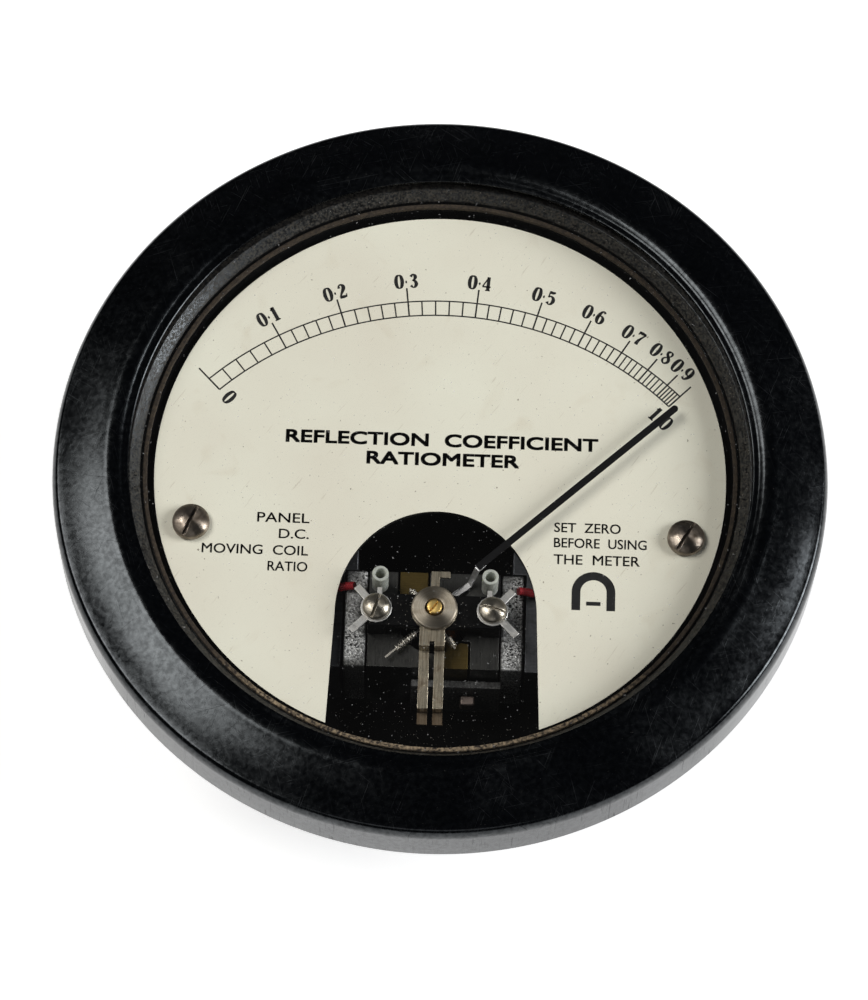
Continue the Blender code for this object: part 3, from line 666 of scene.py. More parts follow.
def lathe(name: str, profile: Sequence[Spot], place: Matrix, steps: int = 96) -> Piece:
    """Solid turned about Z from a closed outline of (radius, height) points, with a map called turned.

    Args:
        name: Name of the object.
        profile: The outline; a radius of 0 is a point on the axis.
        place: Where it goes.
        steps: Number of steps round.

    Returns:
        The new object.
    """
    bm = bmesh.new()
    layer = bm.loops.layers.uv.new("turned")
    rings: list[list[bmesh.types.BMVert]] = []
    for radius, height in profile:
        count = steps if radius > 0 else 1
        circle = arc(radius, 0, 360 - 360 / count, max(count - 1, 1))[:count]
        rings.append([bm.verts.new((*point, height)) for point in circle])
    for level, (lower, upper) in enumerate(zip(rings, rings[1:] + rings[:1])):
        if len(lower) == len(upper) == 1:
            continue
        for step in range(steps):
            round_face = ((level, lower, step), (level, lower, step + 1),
                          (level + 1, upper, step + 1), (level + 1, upper, step))
            corners = {ring[turn % len(ring)]: (row, turn / steps) for row, ring, turn in round_face}
            for loop in bm.faces.new(list(corners)).loops:
                loop[layer].uv = corners[loop.vert]
    return hand_over(name, bm, place)


def prism(name: str, outline: Sequence[Spot], low: float, high: float, place: Matrix) -> Piece:
    """Upright solid between two heights over an outline of (x, y) points.

    Args:
        name: Name of the object.
        outline: The closed outline.
        low: Lower height.
        high: Upper height.
        place: Where it goes.

    Returns:
        The new object.
    """
    bm = bmesh.new()
    bottom = [bm.verts.new((x, y, low)) for x, y in outline]
    top = [bm.verts.new((x, y, high)) for x, y in outline]
    bm.faces.new(bottom)
    bm.faces.new(top)
    for index in range(len(outline)):
        after = (index + 1) % len(outline)
        bm.faces.new((bottom[index], bottom[after], top[after], top[index]))
    return hand_over(name, bm, place)


def bar(name: str, x: Spot, y: Spot, z: Spot, place: Matrix) -> Piece:
    """Rectangular cutter or bar from three (low, high) pairs."""
    outline = [(x[0], y[0]), (x[1], y[0]), (x[1], y[1]), (x[0], y[1])]
    return prism(name, outline, z[0], z[1], place)


def tube(name: str, route: Route, radius: float, place: Matrix, sides: int = 14) -> Piece:
    """Round wire along a route, with a UV map called along that follows it.

    Args:
        name: Name of the object.
        route: Points of the centre line.
        radius: Radius of the wire.
        place: Where it goes.
        sides: Number of sides.

    Returns:
        The new object.
    """
    spots = [Vector(point) for point in route]
    bm = bmesh.new()
    layer = bm.loops.layers.uv.new("along")
    side = Vector((0.0, 0.0, 1.0)).cross(spots[1] - spots[0])
    side = side.normalized() if side.length > 1e-6 else Vector((1.0, 0.0, 0.0))
    rings = []
    circle = arc(1.0, 0, 360 - 360 / sides, sides - 1)
    for index, spot in enumerate(spots):
        ahead = spots[min(index + 1, len(spots) - 1)] - spots[max(index - 1, 0)]
        side = (side - ahead.normalized() * side.dot(ahead.normalized())).normalized()
        other = ahead.normalized().cross(side)
        rings.append([bm.verts.new(spot + radius * (side * c + other * s)) for c, s in circle])
    for index, (lower, upper) in enumerate(zip(rings, rings[1:])):
        for step in range(sides):
            after = (step + 1) % sides
            face = bm.faces.new((lower[step], lower[after], upper[after], upper[step]))
            for loop, (over, up) in zip(face.loops, ((0, 0), (1, 0), (1, 1), (0, 1))):
                loop[layer].uv = ((step + over) / sides, (index + up) / (len(rings) - 1))
    bm.faces.new(rings[0])
    bm.faces.new(rings[-1])
    return hand_over(name, bm, place)


def smooth_route(points: Route, steps: int = 10) -> list[Vector]:
    """Catmull-Rom curve through a short list of points.

    Args:
        points: The points to pass through.
        steps: Points between each pair.

    Returns:
        The finer list.
    """
    spots = [Vector(point) for point in points]
    padded = [2 * spots[0] - spots[1], *spots, 2 * spots[-1] - spots[-2]]
    route = []
    for index in range(1, len(padded) - 2):
        before, start, end, after = padded[index - 1:index + 3]
        for step in range(steps):
            t = step / steps
            bend = (2 * before - 5 * start + 4 * end - after) * t * t
            twist = (3 * start - before - 3 * end + after) * t ** 3
            route.append(0.5 * (2 * start + (end - before) * t + bend + twist))
    return [*route, spots[-1]]


def plain_mesh(item: Piece) -> None:
    """Put what an object's modifiers make into its mesh, and drop them."""
    evaluated = item.evaluated_get(bpy.context.evaluated_depsgraph_get())
    mesh = bpy.data.meshes.new_from_object(evaluated)
    old = item.data
    item.modifiers.clear()
    item.data = mesh
    bpy.data.meshes.remove(old)


def settle(item: Piece, cuts: Iterable[Piece] = (), welds: Iterable[Piece] = (),
           edge: float = 0.0, rounds: int = 2, sharp: float = 38.0) -> Piece:
    """Cut, weld, round the edges and smooth a shape, ending with a plain mesh.

    Args:
        item: The shape.
        cuts: Tools taken out of it, which are used up.
        welds: Shapes joined to it, which are used up.
        edge: Width of the rounding of its edges.
        rounds: Steps in each rounding.
        sharp: Angle in degrees above which an edge stays sharp.

    Returns:
        The same object.
    """
    tools = [*((tool, "UNION") for tool in welds), *((tool, "DIFFERENCE") for tool in cuts)]
    for tool, operation in tools:
        joint = item.modifiers.new("join", "BOOLEAN")
        joint.operation = operation
        joint.solver = "EXACT"
        joint.object = tool
    if edge:
        rounding = item.modifiers.new("rounding", "BEVEL")
        rounding.width = edge * MM
        rounding.segments = rounds
        rounding.limit_method = "ANGLE"
        rounding.angle_limit = math.radians(28.0)
    plain_mesh(item)
    for tool, _ in tools:
        bpy.data.objects.remove(tool, do_unlink=True)
    item.data.shade_smooth()
    item.data.set_sharp_from_angle(angle=math.radians(sharp))
    weighting = item.modifiers.new("level_faces", "WEIGHTED_NORMAL")
    weighting.keep_sharp = True
    plain_mesh(item)
    return item


def refine(node: str, name: str, edge: float = 0.06, rounds: int = 2) -> Piece:
    """Copy a CAD node whose shape is right, weld its loose triangles and round its edges.

    Args:
        node: The CAD node.
        name: Name of the new object.
        edge: Width of the rounding.
        rounds: Steps in each rounding.

    Returns:
        The new object.
    """
    bm = bmesh.new()
    bm.from_mesh(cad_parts[node].data)
    bmesh.ops.remove_doubles(bm, verts=bm.verts, dist=2e-6)
    bmesh.ops.dissolve_limit(bm, angle_limit=math.radians(0.5), verts=bm.verts, edges=bm.edges)
    for layer in list(bm.loops.layers.uv):
        bm.loops.layers.uv.remove(layer)
    return settle(show(name, as_mesh(name, bm)), edge=edge, rounds=rounds)


def join(name: str, items: Sequence[Piece]) -> Piece:
    """Gather several objects at the origin into one mesh.

    Args:
        name: Name of the joined object.
        items: The objects, which are used up.

    Returns:
        The new object.
    """
    bm = bmesh.new()
    for item in items:
        bm.from_mesh(item.data)
        bpy.data.objects.remove(item, do_unlink=True)
    return hand_over(name, bm, Matrix.Scale(1 / MM, 4))


def dress(item: Piece, finish: Finish, body: Body, *nodes: str) -> Piece:
    """Give a piece its finish, its body and the CAD nodes it stands for, and report it.

    Args:
        item: The piece.
        finish: Its finish.
        body: The CAD body it rides on.
        nodes: CAD nodes it replaces.

    Returns:
        The same object.
    """
    item.data.materials.clear()
    item.data.materials.append(finish.material())
    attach(item, body.value)
    if nodes:
        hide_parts(*nodes)
    LOG.info("%s: %d faces, %s, rides on %s", item.name, len(item.data.polygons), finish.name, body.value)
    return item


def redress(node: str, finish: Finish) -> None:
    """Give a CAD node that stays in view a better material."""
    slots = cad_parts[node].material_slots
    for place in slots:
        place.material = finish.material()
    LOG.info("%s: kept, %s", node, finish.name)


# --- repeated shapes -----------------------------------------------------------------------
class Pattern(Tree):
    """A Geometry Nodes tree with named inputs, run once on a carrier and kept as a plain mesh."""

    def __init__(self, name: str, sizes: dict[str, float | int]) -> None:
        """Start a tree.

        Args:
            name: Name of the tree.
            sizes: Its named inputs with their values; whole numbers make integer inputs.
        """
        super().__init__(bpy.data.node_groups.new(name, "GeometryNodeTree"))
        self.sizes = sizes
        self.tree.interface.new_socket("Geometry", in_out="INPUT", socket_type="NodeSocketGeometry")
        self.tree.interface.new_socket("Geometry", in_out="OUTPUT", socket_type="NodeSocketGeometry")
        for key, value in sizes.items():
            kind = "NodeSocketInt" if isinstance(value, int) else "NodeSocketFloat"
            self.tree.interface.new_socket(key, in_out="INPUT", socket_type=kind)
        self.given = self.add("NodeGroupInput").outputs

    def vector(self, x: Any, y: Any, z: Any) -> Socket:
        """Three values as one vector."""
        return self.add("ShaderNodeCombineXYZ", {0: x, 1: y, 2: z}).outputs[0]

    def run(self, name: str, shape: Any, finish: Finish, carrier: bpy.types.Mesh | None = None) -> Piece:
        """Close the tree with real instances and a material, and run it.

        Args:
            name: Name of the piece.
            shape: The socket that holds the finished shape.
            finish: Finish of the shape.
            carrier: Mesh the tree reads, if it needs one.

        Returns:
            The piece as a plain mesh.
        """
        real = self.add("GeometryNodeRealizeInstances", {0: shape})
        coated = self.add("GeometryNodeSetMaterial", {0: real, "Material": finish.material()})
        self.add("NodeGroupOutput", {0: coated})
        item = show(name, carrier or bpy.data.meshes.new(name))
        modifier = item.modifiers.new(name, "NODES")
        modifier.node_group = self.tree
        for socket in self.tree.interface.items_tree:
            if socket.in_out == "INPUT" and socket.name in self.sizes:
                modifier[socket.identifier] = self.sizes[socket.name]
        plain_mesh(item)
        item.data.shade_smooth()
        item.data.set_sharp_from_angle(angle=math.radians(40.0))
        return item


def helix(name: str, radius: float, length: float, turns: float, wire: float, finish: Finish, place: Matrix,
          wire_sides: int = 8, per_turn: int = 28) -> Piece:
    """Wire or thread ridge wound round Z from height 0.

    Args:
        name: Name of the piece.
        radius: Radius of the winding's centre line.
        length: Its length.
        turns: Number of turns.
        wire: Radius of the wire.
        finish: Finish of the wire.
        place: Where it goes.
        wire_sides: Sides of the wire's section.
        per_turn: Points in each turn.

    Returns:
        The piece.
    """
    pattern = Pattern(name + "_pattern", {"Radius": radius * MM, "Length": length * MM, "Turns": turns,
                                          "Wire": wire * MM})
    sizes = {"Start Radius": pattern.given["Radius"], "End Radius": pattern.given["Radius"],
             "Height": pattern.given["Length"], "Rotations": pattern.given["Turns"], "Resolution": per_turn}
    spiral = pattern.add("GeometryNodeCurveSpiral", sizes)
    ring = pattern.add("GeometryNodeCurvePrimitiveCircle", {
        "Resolution": wire_sides, "Radius": pattern.given["Wire"]})
    swept = pattern.add("GeometryNodeCurveToMesh", {0: spiral, 1: ring, "Fill Caps": True})
    item = pattern.run(name, swept.outputs[0], finish)
    item.data.transform(in_metres(place))
    return item


@dataclass(frozen=True)
class SlottedScrew:
    """A screw with a slotted head, drawn with its head's underside at height 0."""

    radius: float
    rise: float
    slot_width: float
    slot_depth: float
    turn: float
    shank: float
    reach: float
    head: ScrewHead = ScrewHead.ROUND

    def profile(self) -> list[Spot]:
        """Outline of half the screw, from the shank's end to the crown."""
        lead = [(0.0, -self.reach), (self.shank - 0.15, -self.reach),
                (self.shank, 0.15 - self.reach), (self.shank, 0.0)]
        r, h = self.radius, self.rise
        if self.head is ScrewHead.ROUND:
            wall = 0.3 * h
            crown = [(r * math.cos(math.radians(a)), wall + (h - wall) * math.sin(math.radians(a)))
                     for a in (4, 12, 21, 30, 39, 48, 57, 66, 75, 83)]
            return [*lead, (r - 0.08, 0.0), (r, 0.08), *crown, (0.0, h)]
        return [*lead, (r - 0.1, 0.0), (r, 0.1), (r, h - 0.25), (r - 0.08, h - 0.08), (r - 0.25, h), (0.0, h)]

    def build(self, name: str, place: Matrix, steps: int = 64) -> Piece:
        """Turn the screw and cut its slot.

        Args:
            name: Name of the piece.
            place: Where it goes.
            steps: Steps round the head.

        Returns:
            The screw.
        """
        screw = lathe(name, self.profile(), place, steps)
        half = self.slot_width / 2
        cut = bar("slot", (-2 * self.radius, 2 * self.radius), (-half, half),
                  (self.rise - self.slot_depth, self.rise + 2.0), place @ rotated(self.turn))
        return settle(screw, cuts=[cut], edge=0.05, rounds=2)


# --- case ------------------------------------------------------------------------------------
@dataclass
class FrontRing:
    """Moulded flange with its rounded shoulder, rising face, soft crest and thin lip."""

    outer: float = 52.0
    depth: float = 6.4
    shoulder: Spot = (1.03, 1.85)
    crest: list[Spot] = field(default_factory=lambda: [(45.4, 3.72), (45.05, 3.85), (44.7, 3.95), (44.35, 4.01),
                                                       (44.0, 4.02), (43.65, 3.99), (43.3, 3.93), (43.0, 3.83),
                                                       (42.75, 3.7), (42.55, 3.58), (42.4, 3.55)])
    bulge: float = 0.10
    steps: int = 288

    def profile(self) -> list[Spot]:
        """Section of the ring from the wall round to its back."""
        wide, high = self.shoulder
        edge = [(self.outer - wide * (1 - math.cos(math.radians(a))), high * math.sin(math.radians(a)))
                for a in range(0, 91, 9)]
        (wall_r, wall_z), (crest_r, crest_z) = edge[-1], self.crest[0]
        face = [(wall_r + (crest_r - wall_r) * t, wall_z + (crest_z - wall_z) * t + self.bulge * math.sin(math.pi * t))
                for t in (0.12, 0.25, 0.4, 0.55, 0.7, 0.85)]
        mouth = [(42.1, 3.55), (41.85, 3.52), (41.72, 3.47), (41.65, 3.4), (41.65, 3.05)]
        back = [(43.3, 3.05), (43.3, -4.0), (48.4, -4.0), (48.4, -self.depth), (51.7, -self.depth),
                (51.88, -6.35), (51.97, -6.2), (self.outer, -6.0), (self.outer, -3.0)]
        return edge + face + self.crest + mouth + back

    def build(self) -> None:
        """Turn the ring."""
        ring = settle(lathe("front_ring", self.profile(), HERE.on_rim(), self.steps))
        dress(ring, RING_MOULDING, Body.CASE, "bezel_ring")


@dataclass
class CaseShell:
    """Cup behind the flange with the funnel mouth under the glass, and the brown packing ring."""

    depth: float = 33.0
    steps: int = 256
    packing: Spot = (39.32, 39.92)
    waves: Route = ((0.022, 23, 0.0), (0.018, 57, 1.0), (0.014, 131, 2.0))

    def build(self) -> None:
        """Turn the cup and the packing, keep the glass."""
        d = self.depth
        outer = [(0.0, -d), (20.0, -d), (36.4, -d), *arc(3.0, -83, 0, 10, (36.8, 3.0 - d)), (40.4, -18.0),
                 (41.0, -6.4), (41.15, -6.2), (47.8, -6.2), (48.1, -6.0), (48.1, -4.3), (43.0, -4.3), (43.0, 1.15), (42.85, 1.3)]
        inner = [(41.7, 1.3), (41.55, 1.26), (41.0, 0.77), (40.6, 0.41), (40.3, 0.14), (40.25, 0.05), (40.25, -0.9),
                 (39.4, -0.9), (39.3, -5.0), (37.9, -29.0), (36.4, 2.0 - d), (0.0, 2.0 - d)]
        shell = settle(lathe("case_shell", outer + inner, HERE.on_rim(), self.steps))
        dress(shell, CASE_MOULDING, Body.CASE, "case_body")
        low, high = self.packing
        ring = [(low, -0.6), (low, -0.06), (low + 0.05, -0.01), (low + 0.3, 0.0), (high - 0.08, 0.0), (high, -0.08),
                (high, -0.6)]
        packing = lathe("packing_ring", ring, HERE.on_rim(), self.steps)
        for vertex in packing.data.vertices:
            turn = math.atan2(vertex.co.y, vertex.co.x)
            wander = sum(size * math.sin(count * turn + start) for size, count, start in self.waves)
            inward = math.hypot(vertex.co.x, vertex.co.y) < (low + 0.2) * MM
            vertex.co.xy *= 1.0 + (wander + 0.03) / low * inward
        dress(settle(packing), PACKING, Body.CASE, "glass_gasket")
        redress("window_glass", WINDOW)


@dataclass
class Terminals:
    """Threaded studs, washers and nuts on the back, and the screws of the flange."""

    pitch: float = 0.75
    stud: float = 2.3
    bore: float = 2.6
    screw_circle: float = 45.0
    screw_seat: float = 6.5
    angles: tuple[float, ...] = (30.0, 150.0, 270.0)

    def stud_piece(self, number: int) -> Piece:
        """Stud with a wound thread ridge on its shank and a flat head inside the case."""
        place, tall = foot_of(f"terminal_stud_{number}")
        core = self.stud - 0.22
        profile = [(0.0, 0.0), (core - 0.5, 0.0), (core, 0.5), (core, tall - 3.0),
                   (self.stud, tall - 2.8), (self.stud, tall - 1.8), (4.1, tall - 1.8),
                   (4.2, tall - 1.7), (4.2, tall - 0.2), (4.0, tall), (0.0, tall)]
        shank = settle(lathe(f"stud_core_{number}", profile, place, 48))
        length = tall - 4.2
        ridge = helix(f"stud_ridge_{number}", core, length, length / self.pitch, 0.215, TERMINAL_BRASS,
                      place @ lifted(0.7), 4, 24)
        return join(f"threaded_stud_{number}", [shank, ridge])

    def nut_piece(self, number: int) -> Piece:
        """Hexagonal nut with both faces chamfered."""
        place, tall = foot_of(f"terminal_nut_{number}")
        nut = prism(f"hexagon_nut_{number}", arc(4.6, 15, 315, 5), 0.0, tall, place)
        chamfered = [(0.0, 0.0), (4.1, 0.0), (4.62, 0.35), (4.62, tall - 0.35), (4.1, tall), (0.0, tall)]
        crown = lathe("crown", chamfered, place, 64)
        keep = nut.modifiers.new("chamfer", "BOOLEAN")
        keep.operation = "INTERSECT"
        keep.solver = "EXACT"
        keep.object = crown
        plain_mesh(nut)
        bpy.data.objects.remove(crown, do_unlink=True)
        hole = [(0.0, -1.0), (self.bore, -1.0), (self.bore, tall + 1.0), (0.0, tall + 1.0)]
        return settle(nut, cuts=[lathe("bore", hole, place, 48)], edge=0.05)

    def build(self) -> None:
        """Make the three sets of terminals and the three flange screws."""
        for number, angle in enumerate(self.angles, 1):
            dress(self.stud_piece(number), TERMINAL_BRASS, Body.CASE, f"terminal_stud_{number}")
            dress(self.nut_piece(number), TERMINAL_BRASS, Body.CASE, f"terminal_nut_{number}")
            place, tall = foot_of(f"terminal_washer_{number}")
            ring = [(self.bore, 0.0), (4.9, 0.0), (5.0, 0.1), (5.0, tall - 0.1), (4.9, tall), (self.bore, tall)]
            washer = settle(lathe(f"plain_washer_{number}", ring, place, 64))
            dress(washer, SCREW_METAL, Body.CASE, f"terminal_washer_{number}")
            spot = arc(self.screw_circle, angle, angle, 1)[0]
            place = Matrix.Translation((*spot, HERE.rim - self.screw_seat)) @ rotated(180.0, "X")
            screw = SlottedScrew(2.5, 1.1, 0.6, 0.5, -angle, 1.0, 6.7, ScrewHead.CHEESE)
            dress(screw.build(f"flange_screw_{number}", place, 40), SCREW_METAL, Body.CASE, f"case_screw_{number}")


# --- dial ------------------------------------------------------------------------------------
class Numerals:
    """Bold condensed figures drawn from strokes whose width swells, about 1 high and 0.6 wide."""

    strokes: dict[str, list[list[tuple[float, float, float]]]] = {
        "0": [[(0.30, 0.97, 0.06), (0.16, 0.86, 0.14), (0.10, 0.50, 0.18), (0.16, 0.14, 0.14), (0.30, 0.03, 0.06),
               (0.44, 0.14, 0.14), (0.50, 0.50, 0.18), (0.44, 0.86, 0.14), (0.30, 0.97, 0.06)]],
        "1": [[(0.30, 0.0, 0.18), (0.30, 0.5, 0.18), (0.30, 1.0, 0.18)], [(0.13, 0.80, 0.05), (0.30, 0.94, 0.10)],
              [(0.12, 0.03, 0.06), (0.48, 0.03, 0.06)]],
        "2": [[(0.17, 0.72, 0.15), (0.19, 0.88, 0.08), (0.32, 0.96, 0.08), (0.46, 0.84, 0.17), (0.45, 0.66, 0.19),
               (0.30, 0.42, 0.13), (0.14, 0.16, 0.07)], [(0.08, 0.08, 0.14), (0.32, 0.08, 0.16), (0.52, 0.08, 0.10)],
              [(0.52, 0.03, 0.05), (0.55, 0.26, 0.05)]],
        "3": [[(0.16, 0.80, 0.15), (0.28, 0.96, 0.07), (0.42, 0.88, 0.15), (0.45, 0.74, 0.17), (0.36, 0.58, 0.10),
               (0.24, 0.54, 0.05)], [(0.26, 0.54, 0.05), (0.42, 0.46, 0.13), (0.48, 0.27, 0.18), (0.40, 0.08, 0.12),
                                     (0.26, 0.03, 0.06), (0.13, 0.18, 0.15)]],
        "4": [[(0.40, 0.98, 0.06), (0.05, 0.30, 0.06)], [(0.03, 0.28, 0.08), (0.56, 0.28, 0.08)],
              [(0.40, 0.98, 0.16), (0.40, 0.0, 0.16)], [(0.24, 0.03, 0.06), (0.54, 0.03, 0.06)]],
        "5": [[(0.16, 0.96, 0.06), (0.14, 0.52, 0.06)], [(0.14, 0.90, 0.14), (0.34, 0.88, 0.15), (0.50, 0.94, 0.08)],
              [(0.13, 0.52, 0.06), (0.28, 0.62, 0.08), (0.45, 0.50, 0.15), (0.49, 0.30, 0.18), (0.40, 0.09, 0.12),
               (0.25, 0.03, 0.06), (0.12, 0.18, 0.15)]],
        "6": [[(0.30, 0.60, 0.06), (0.44, 0.50, 0.14), (0.49, 0.30, 0.17), (0.42, 0.10, 0.12), (0.30, 0.03, 0.06),
               (0.17, 0.12, 0.13), (0.11, 0.34, 0.18), (0.14, 0.62, 0.17), (0.24, 0.88, 0.11), (0.38, 0.96, 0.06),
               (0.46, 0.84, 0.13)], [(0.12, 0.44, 0.06), (0.20, 0.57, 0.07), (0.30, 0.60, 0.06)]],
        "7": [[(0.08, 0.90, 0.14), (0.30, 0.90, 0.16), (0.52, 0.92, 0.08)], [(0.08, 0.98, 0.05), (0.07, 0.72, 0.05)],
              [(0.52, 0.92, 0.07), (0.36, 0.58, 0.09), (0.26, 0.28, 0.16), (0.25, 0.02, 0.20)]],
        "8": [[(0.30, 0.97, 0.06), (0.16, 0.88, 0.13), (0.15, 0.72, 0.13), (0.30, 0.56, 0.15), (0.45, 0.40, 0.16),
               (0.47, 0.20, 0.13), (0.30, 0.03, 0.07), (0.12, 0.16, 0.11), (0.12, 0.36, 0.08), (0.30, 0.54, 0.05),
               (0.43, 0.70, 0.07), (0.43, 0.88, 0.11), (0.30, 0.97, 0.06)]],
        "9": [[(0.30, 0.40, 0.06), (0.16, 0.50, 0.14), (0.11, 0.70, 0.17), (0.18, 0.90, 0.12), (0.30, 0.97, 0.06),
               (0.43, 0.88, 0.13), (0.49, 0.66, 0.18), (0.46, 0.38, 0.17), (0.36, 0.12, 0.11), (0.22, 0.04, 0.06),
               (0.14, 0.16, 0.13)], [(0.48, 0.56, 0.06), (0.40, 0.43, 0.07), (0.30, 0.40, 0.06)]],
        "·": [[(0.10, 0.45, 0.02), (0.16, 0.45, 0.16), (0.22, 0.45, 0.02)]],
    }
    wide = {"·": 0.32}

    def ribbon(self, stroke: list[tuple[float, float, float]], lift: float) -> Piece:
        """One stroke as a thin solid of swelling width.

        Args:
            stroke: Points of (x, y, width).
            lift: Thickness of the ink, in the figure's own unit.

        Returns:
            The stroke as an object.
        """
        points = smooth_route(stroke, 5)
        bm = bmesh.new()
        sections = []
        for index, point in enumerate(points):
            ahead = points[min(index + 1, len(points) - 1)] - points[max(index - 1, 0)]
            side = Vector((-ahead.y, ahead.x)).normalized() * max(1.25 * point.z + 0.01, 0.04) / 2
            sections.append([bm.verts.new((point.x + s * side.x, point.y + s * side.y, z))
                             for s, z in ((1, 0.0), (-1, 0.0), (-1, lift), (1, lift))])
        for one, two in zip(sections, sections[1:]):
            for index in range(4):
                after = (index + 1) % 4
                bm.faces.new((one[index], one[after], two[after], two[index]))
        bm.faces.new(sections[0])
        bm.faces.new(sections[-1])
        return hand_over("stroke", bm)

    def write(self, text: str, height: float, place: Matrix, lift: float) -> list[Piece]:
        """Write figures centred on a place.

        Args:
            text: Figures and raised points.
            height: Height of a figure in millimetres.
            place: Centre and direction of the writing.
            lift: Thickness of the ink in millimetres.

        Returns:
            The strokes as objects.
        """
        widths = [self.wide.get(sign, 0.60) for sign in text]
        pen = -sum(widths) / 2
        made = []
        for sign, width in zip(text, widths):
            for stroke in self.strokes[sign]:
                item = self.ribbon(stroke, lift / height)
                shift = Matrix.Translation((pen * MM, -0.5 * MM, 0.0))
                item.data.transform(in_metres(place) @ Matrix.Scale(height, 4) @ shift)
                made.append(item)
            pen += width
        return made


@dataclass
class DialFace:
    """Cream dial plate with its scale, figures and wording, its screws and its pillars."""

    radius: float = 38.5
    thickness: float = 0.8
    window: tuple[float, float, float] = (13.4, -20.0, 14.7)
    screws: Spot = (33.1, -8.2)
    centre: Spot = (0.0, -19.98)
    outer_line: float = 45.9
    inner_line: float = 43.75
    long_tick: float = 48.0
    figures: float = 49.05
    line: float = 0.19
    ink: float = 0.02
    marks: tuple[float, ...] = (-43.82, -29.5, -18.1, -6.49, 5.34, 15.89, 24.51, 31.75, 37.19, 41.5, 44.48)

    def plate(self) -> None:
        """Dial plate with the arched window and two screw holes."""
        half, spring, rise = self.window
        head = [(half * x, spring + rise * y) for x, y in arc(1.0, 180, 0, 96)]
        foot = (13.95, -35.67)
        start, end = (math.degrees(math.atan2(foot[1], side * foot[0])) for side in (1, -1))
        rim = arc(self.radius, start, end + 360.0, 240)
        plate = prism("dial_face", rim + head, -self.thickness, 0.0, HERE.on_dial())
        hole = [(0.0, -3.0), (1.3, -3.0), (1.3, 2.0), (0.0, 2.0)]
        holes = [lathe("hole", hole, HERE.on_dial(side * self.screws[0], self.screws[1]), 48) for side in (-1, 1)]
        dress(settle(plate, cuts=holes, edge=0.08), DIAL_ENAMEL, Body.CASE, "dial_plate")

    def at(self, radius: float, turn: float) -> Matrix:
        """Place on the scale at a radius and a direction from the vertical, turned with it."""
        angle = math.radians(turn)
        x = self.centre[0] + radius * math.sin(angle)
        y = self.centre[1] + radius * math.cos(angle)
        return HERE.on_dial(x, y, -turn) @ lifted(INK_GAP)

    def ticks(self) -> Piece:
        """All lines across the scale band, each one an instance of one bar."""
        carrier = bpy.data.meshes.new("tick_places")
        rows = []
        for index, (start, end) in enumerate(zip(self.marks, self.marks[1:])):
            for step in range(5):
                turn = start + (end - start) * step / 5
                rows.append((turn, self.inner_line, self.long_tick if step == 0 else self.outer_line, step == 0))
        rows.append((self.marks[-1], self.inner_line, self.long_tick, True))
        middles = [self.at((low + high) / 2, turn).translation * MM for turn, low, high, _ in rows]
        carrier.from_pydata(middles, [], [])
        for name, values in (("turn", [-math.radians(row[0]) for row in rows]),
                             ("reach", [(row[2] - row[1]) * MM for row in rows]),
                             ("wide", [1.15 if row[3] else 1.0 for row in rows])):
            carrier.attributes.new(name, "FLOAT", "POINT").data.foreach_set("value", values)
        pattern = Pattern("scale_ticks", {"Line width": self.line * MM, "Ink": self.ink * MM})
        field_of = {name: pattern.add("GeometryNodeInputNamedAttribute", {"Name": name}).outputs[0]
                    for name in ("turn", "reach", "wide")}
        width = pattern.add("ShaderNodeMath", {0: field_of["wide"], 1: pattern.given["Line width"]},
                            operation="MULTIPLY")
        cube = pattern.add("GeometryNodeMeshCube", {"Size": (1.0, 1.0, 1.0)})
        placed = pattern.add("GeometryNodeInstanceOnPoints", {
            "Points": pattern.given["Geometry"], "Instance": cube,
            "Rotation": pattern.vector(0.0, 0.0, field_of["turn"]),
            "Scale": pattern.vector(width, field_of["reach"], pattern.given["Ink"])})
        return pattern.run("ticks", placed, DIAL_INK, carrier)

    def band(self, radius: float) -> Piece:
        """One thin arc line of the scale band."""
        half = self.line / 2
        first, last = 90.0 - self.marks[-1], 90.0 - self.marks[0]
        outline = arc(radius + half, first, last, 160) + arc(radius - half, last, first, 160)
        return prism("band_line", outline, 0.0, self.ink, HERE.on_dial(*self.centre))

    def words(self, text: str, span: Spot, foot: float, height: float, weight: float) -> list[Piece]:
        """A line of capitals fitted to a width and a height, struck several times side by side to make it bold.

        Args:
            text: The wording.
            span: Where it starts and ends across the dial.
            foot: Height of its base line on the dial.
            height: Height of the capitals.
            weight: Thickness added to each stroke, in millimetres.

        Returns:
            The strikes as mesh objects.
        """
        curve = bpy.data.curves.new("words", "FONT")
        curve.body = text
        curve.extrude = 0.5
        curve.resolution_u = 4
        item = show("words", curve)
        mesh = bpy.data.meshes.new_from_object(item.evaluated_get(bpy.context.evaluated_depsgraph_get()))
        bpy.data.objects.remove(item, do_unlink=True)
        low = [min(v.co[k] for v in mesh.vertices) for k in range(3)]
        high = [max(v.co[k] for v in mesh.vertices) for k in range(3)]
        scale = ((span[1] - span[0] - weight) / (high[0] - low[0]), (height - weight) / (high[1] - low[1]),
                 self.ink / (high[2] - low[2]))
        for vertex in mesh.vertices:
            x, y, z = (scale[k] * (vertex.co[k] - low[k]) for k in range(3))
            vertex.co = Vector((span[0] + x, foot + y, HERE.dial + INK_GAP + z)) * MM
        strikes = []
        for across, up in ((0.0, 0.0), (1.0, 0.0), (0.0, 1.0), (1.0, 1.0), (0.5, 0.5)):
            strikes.append(show("strike", mesh.copy()))
            strikes[-1].data.transform(Matrix.Translation((across * weight * MM, up * weight * MM, 0.0)))
        return strikes

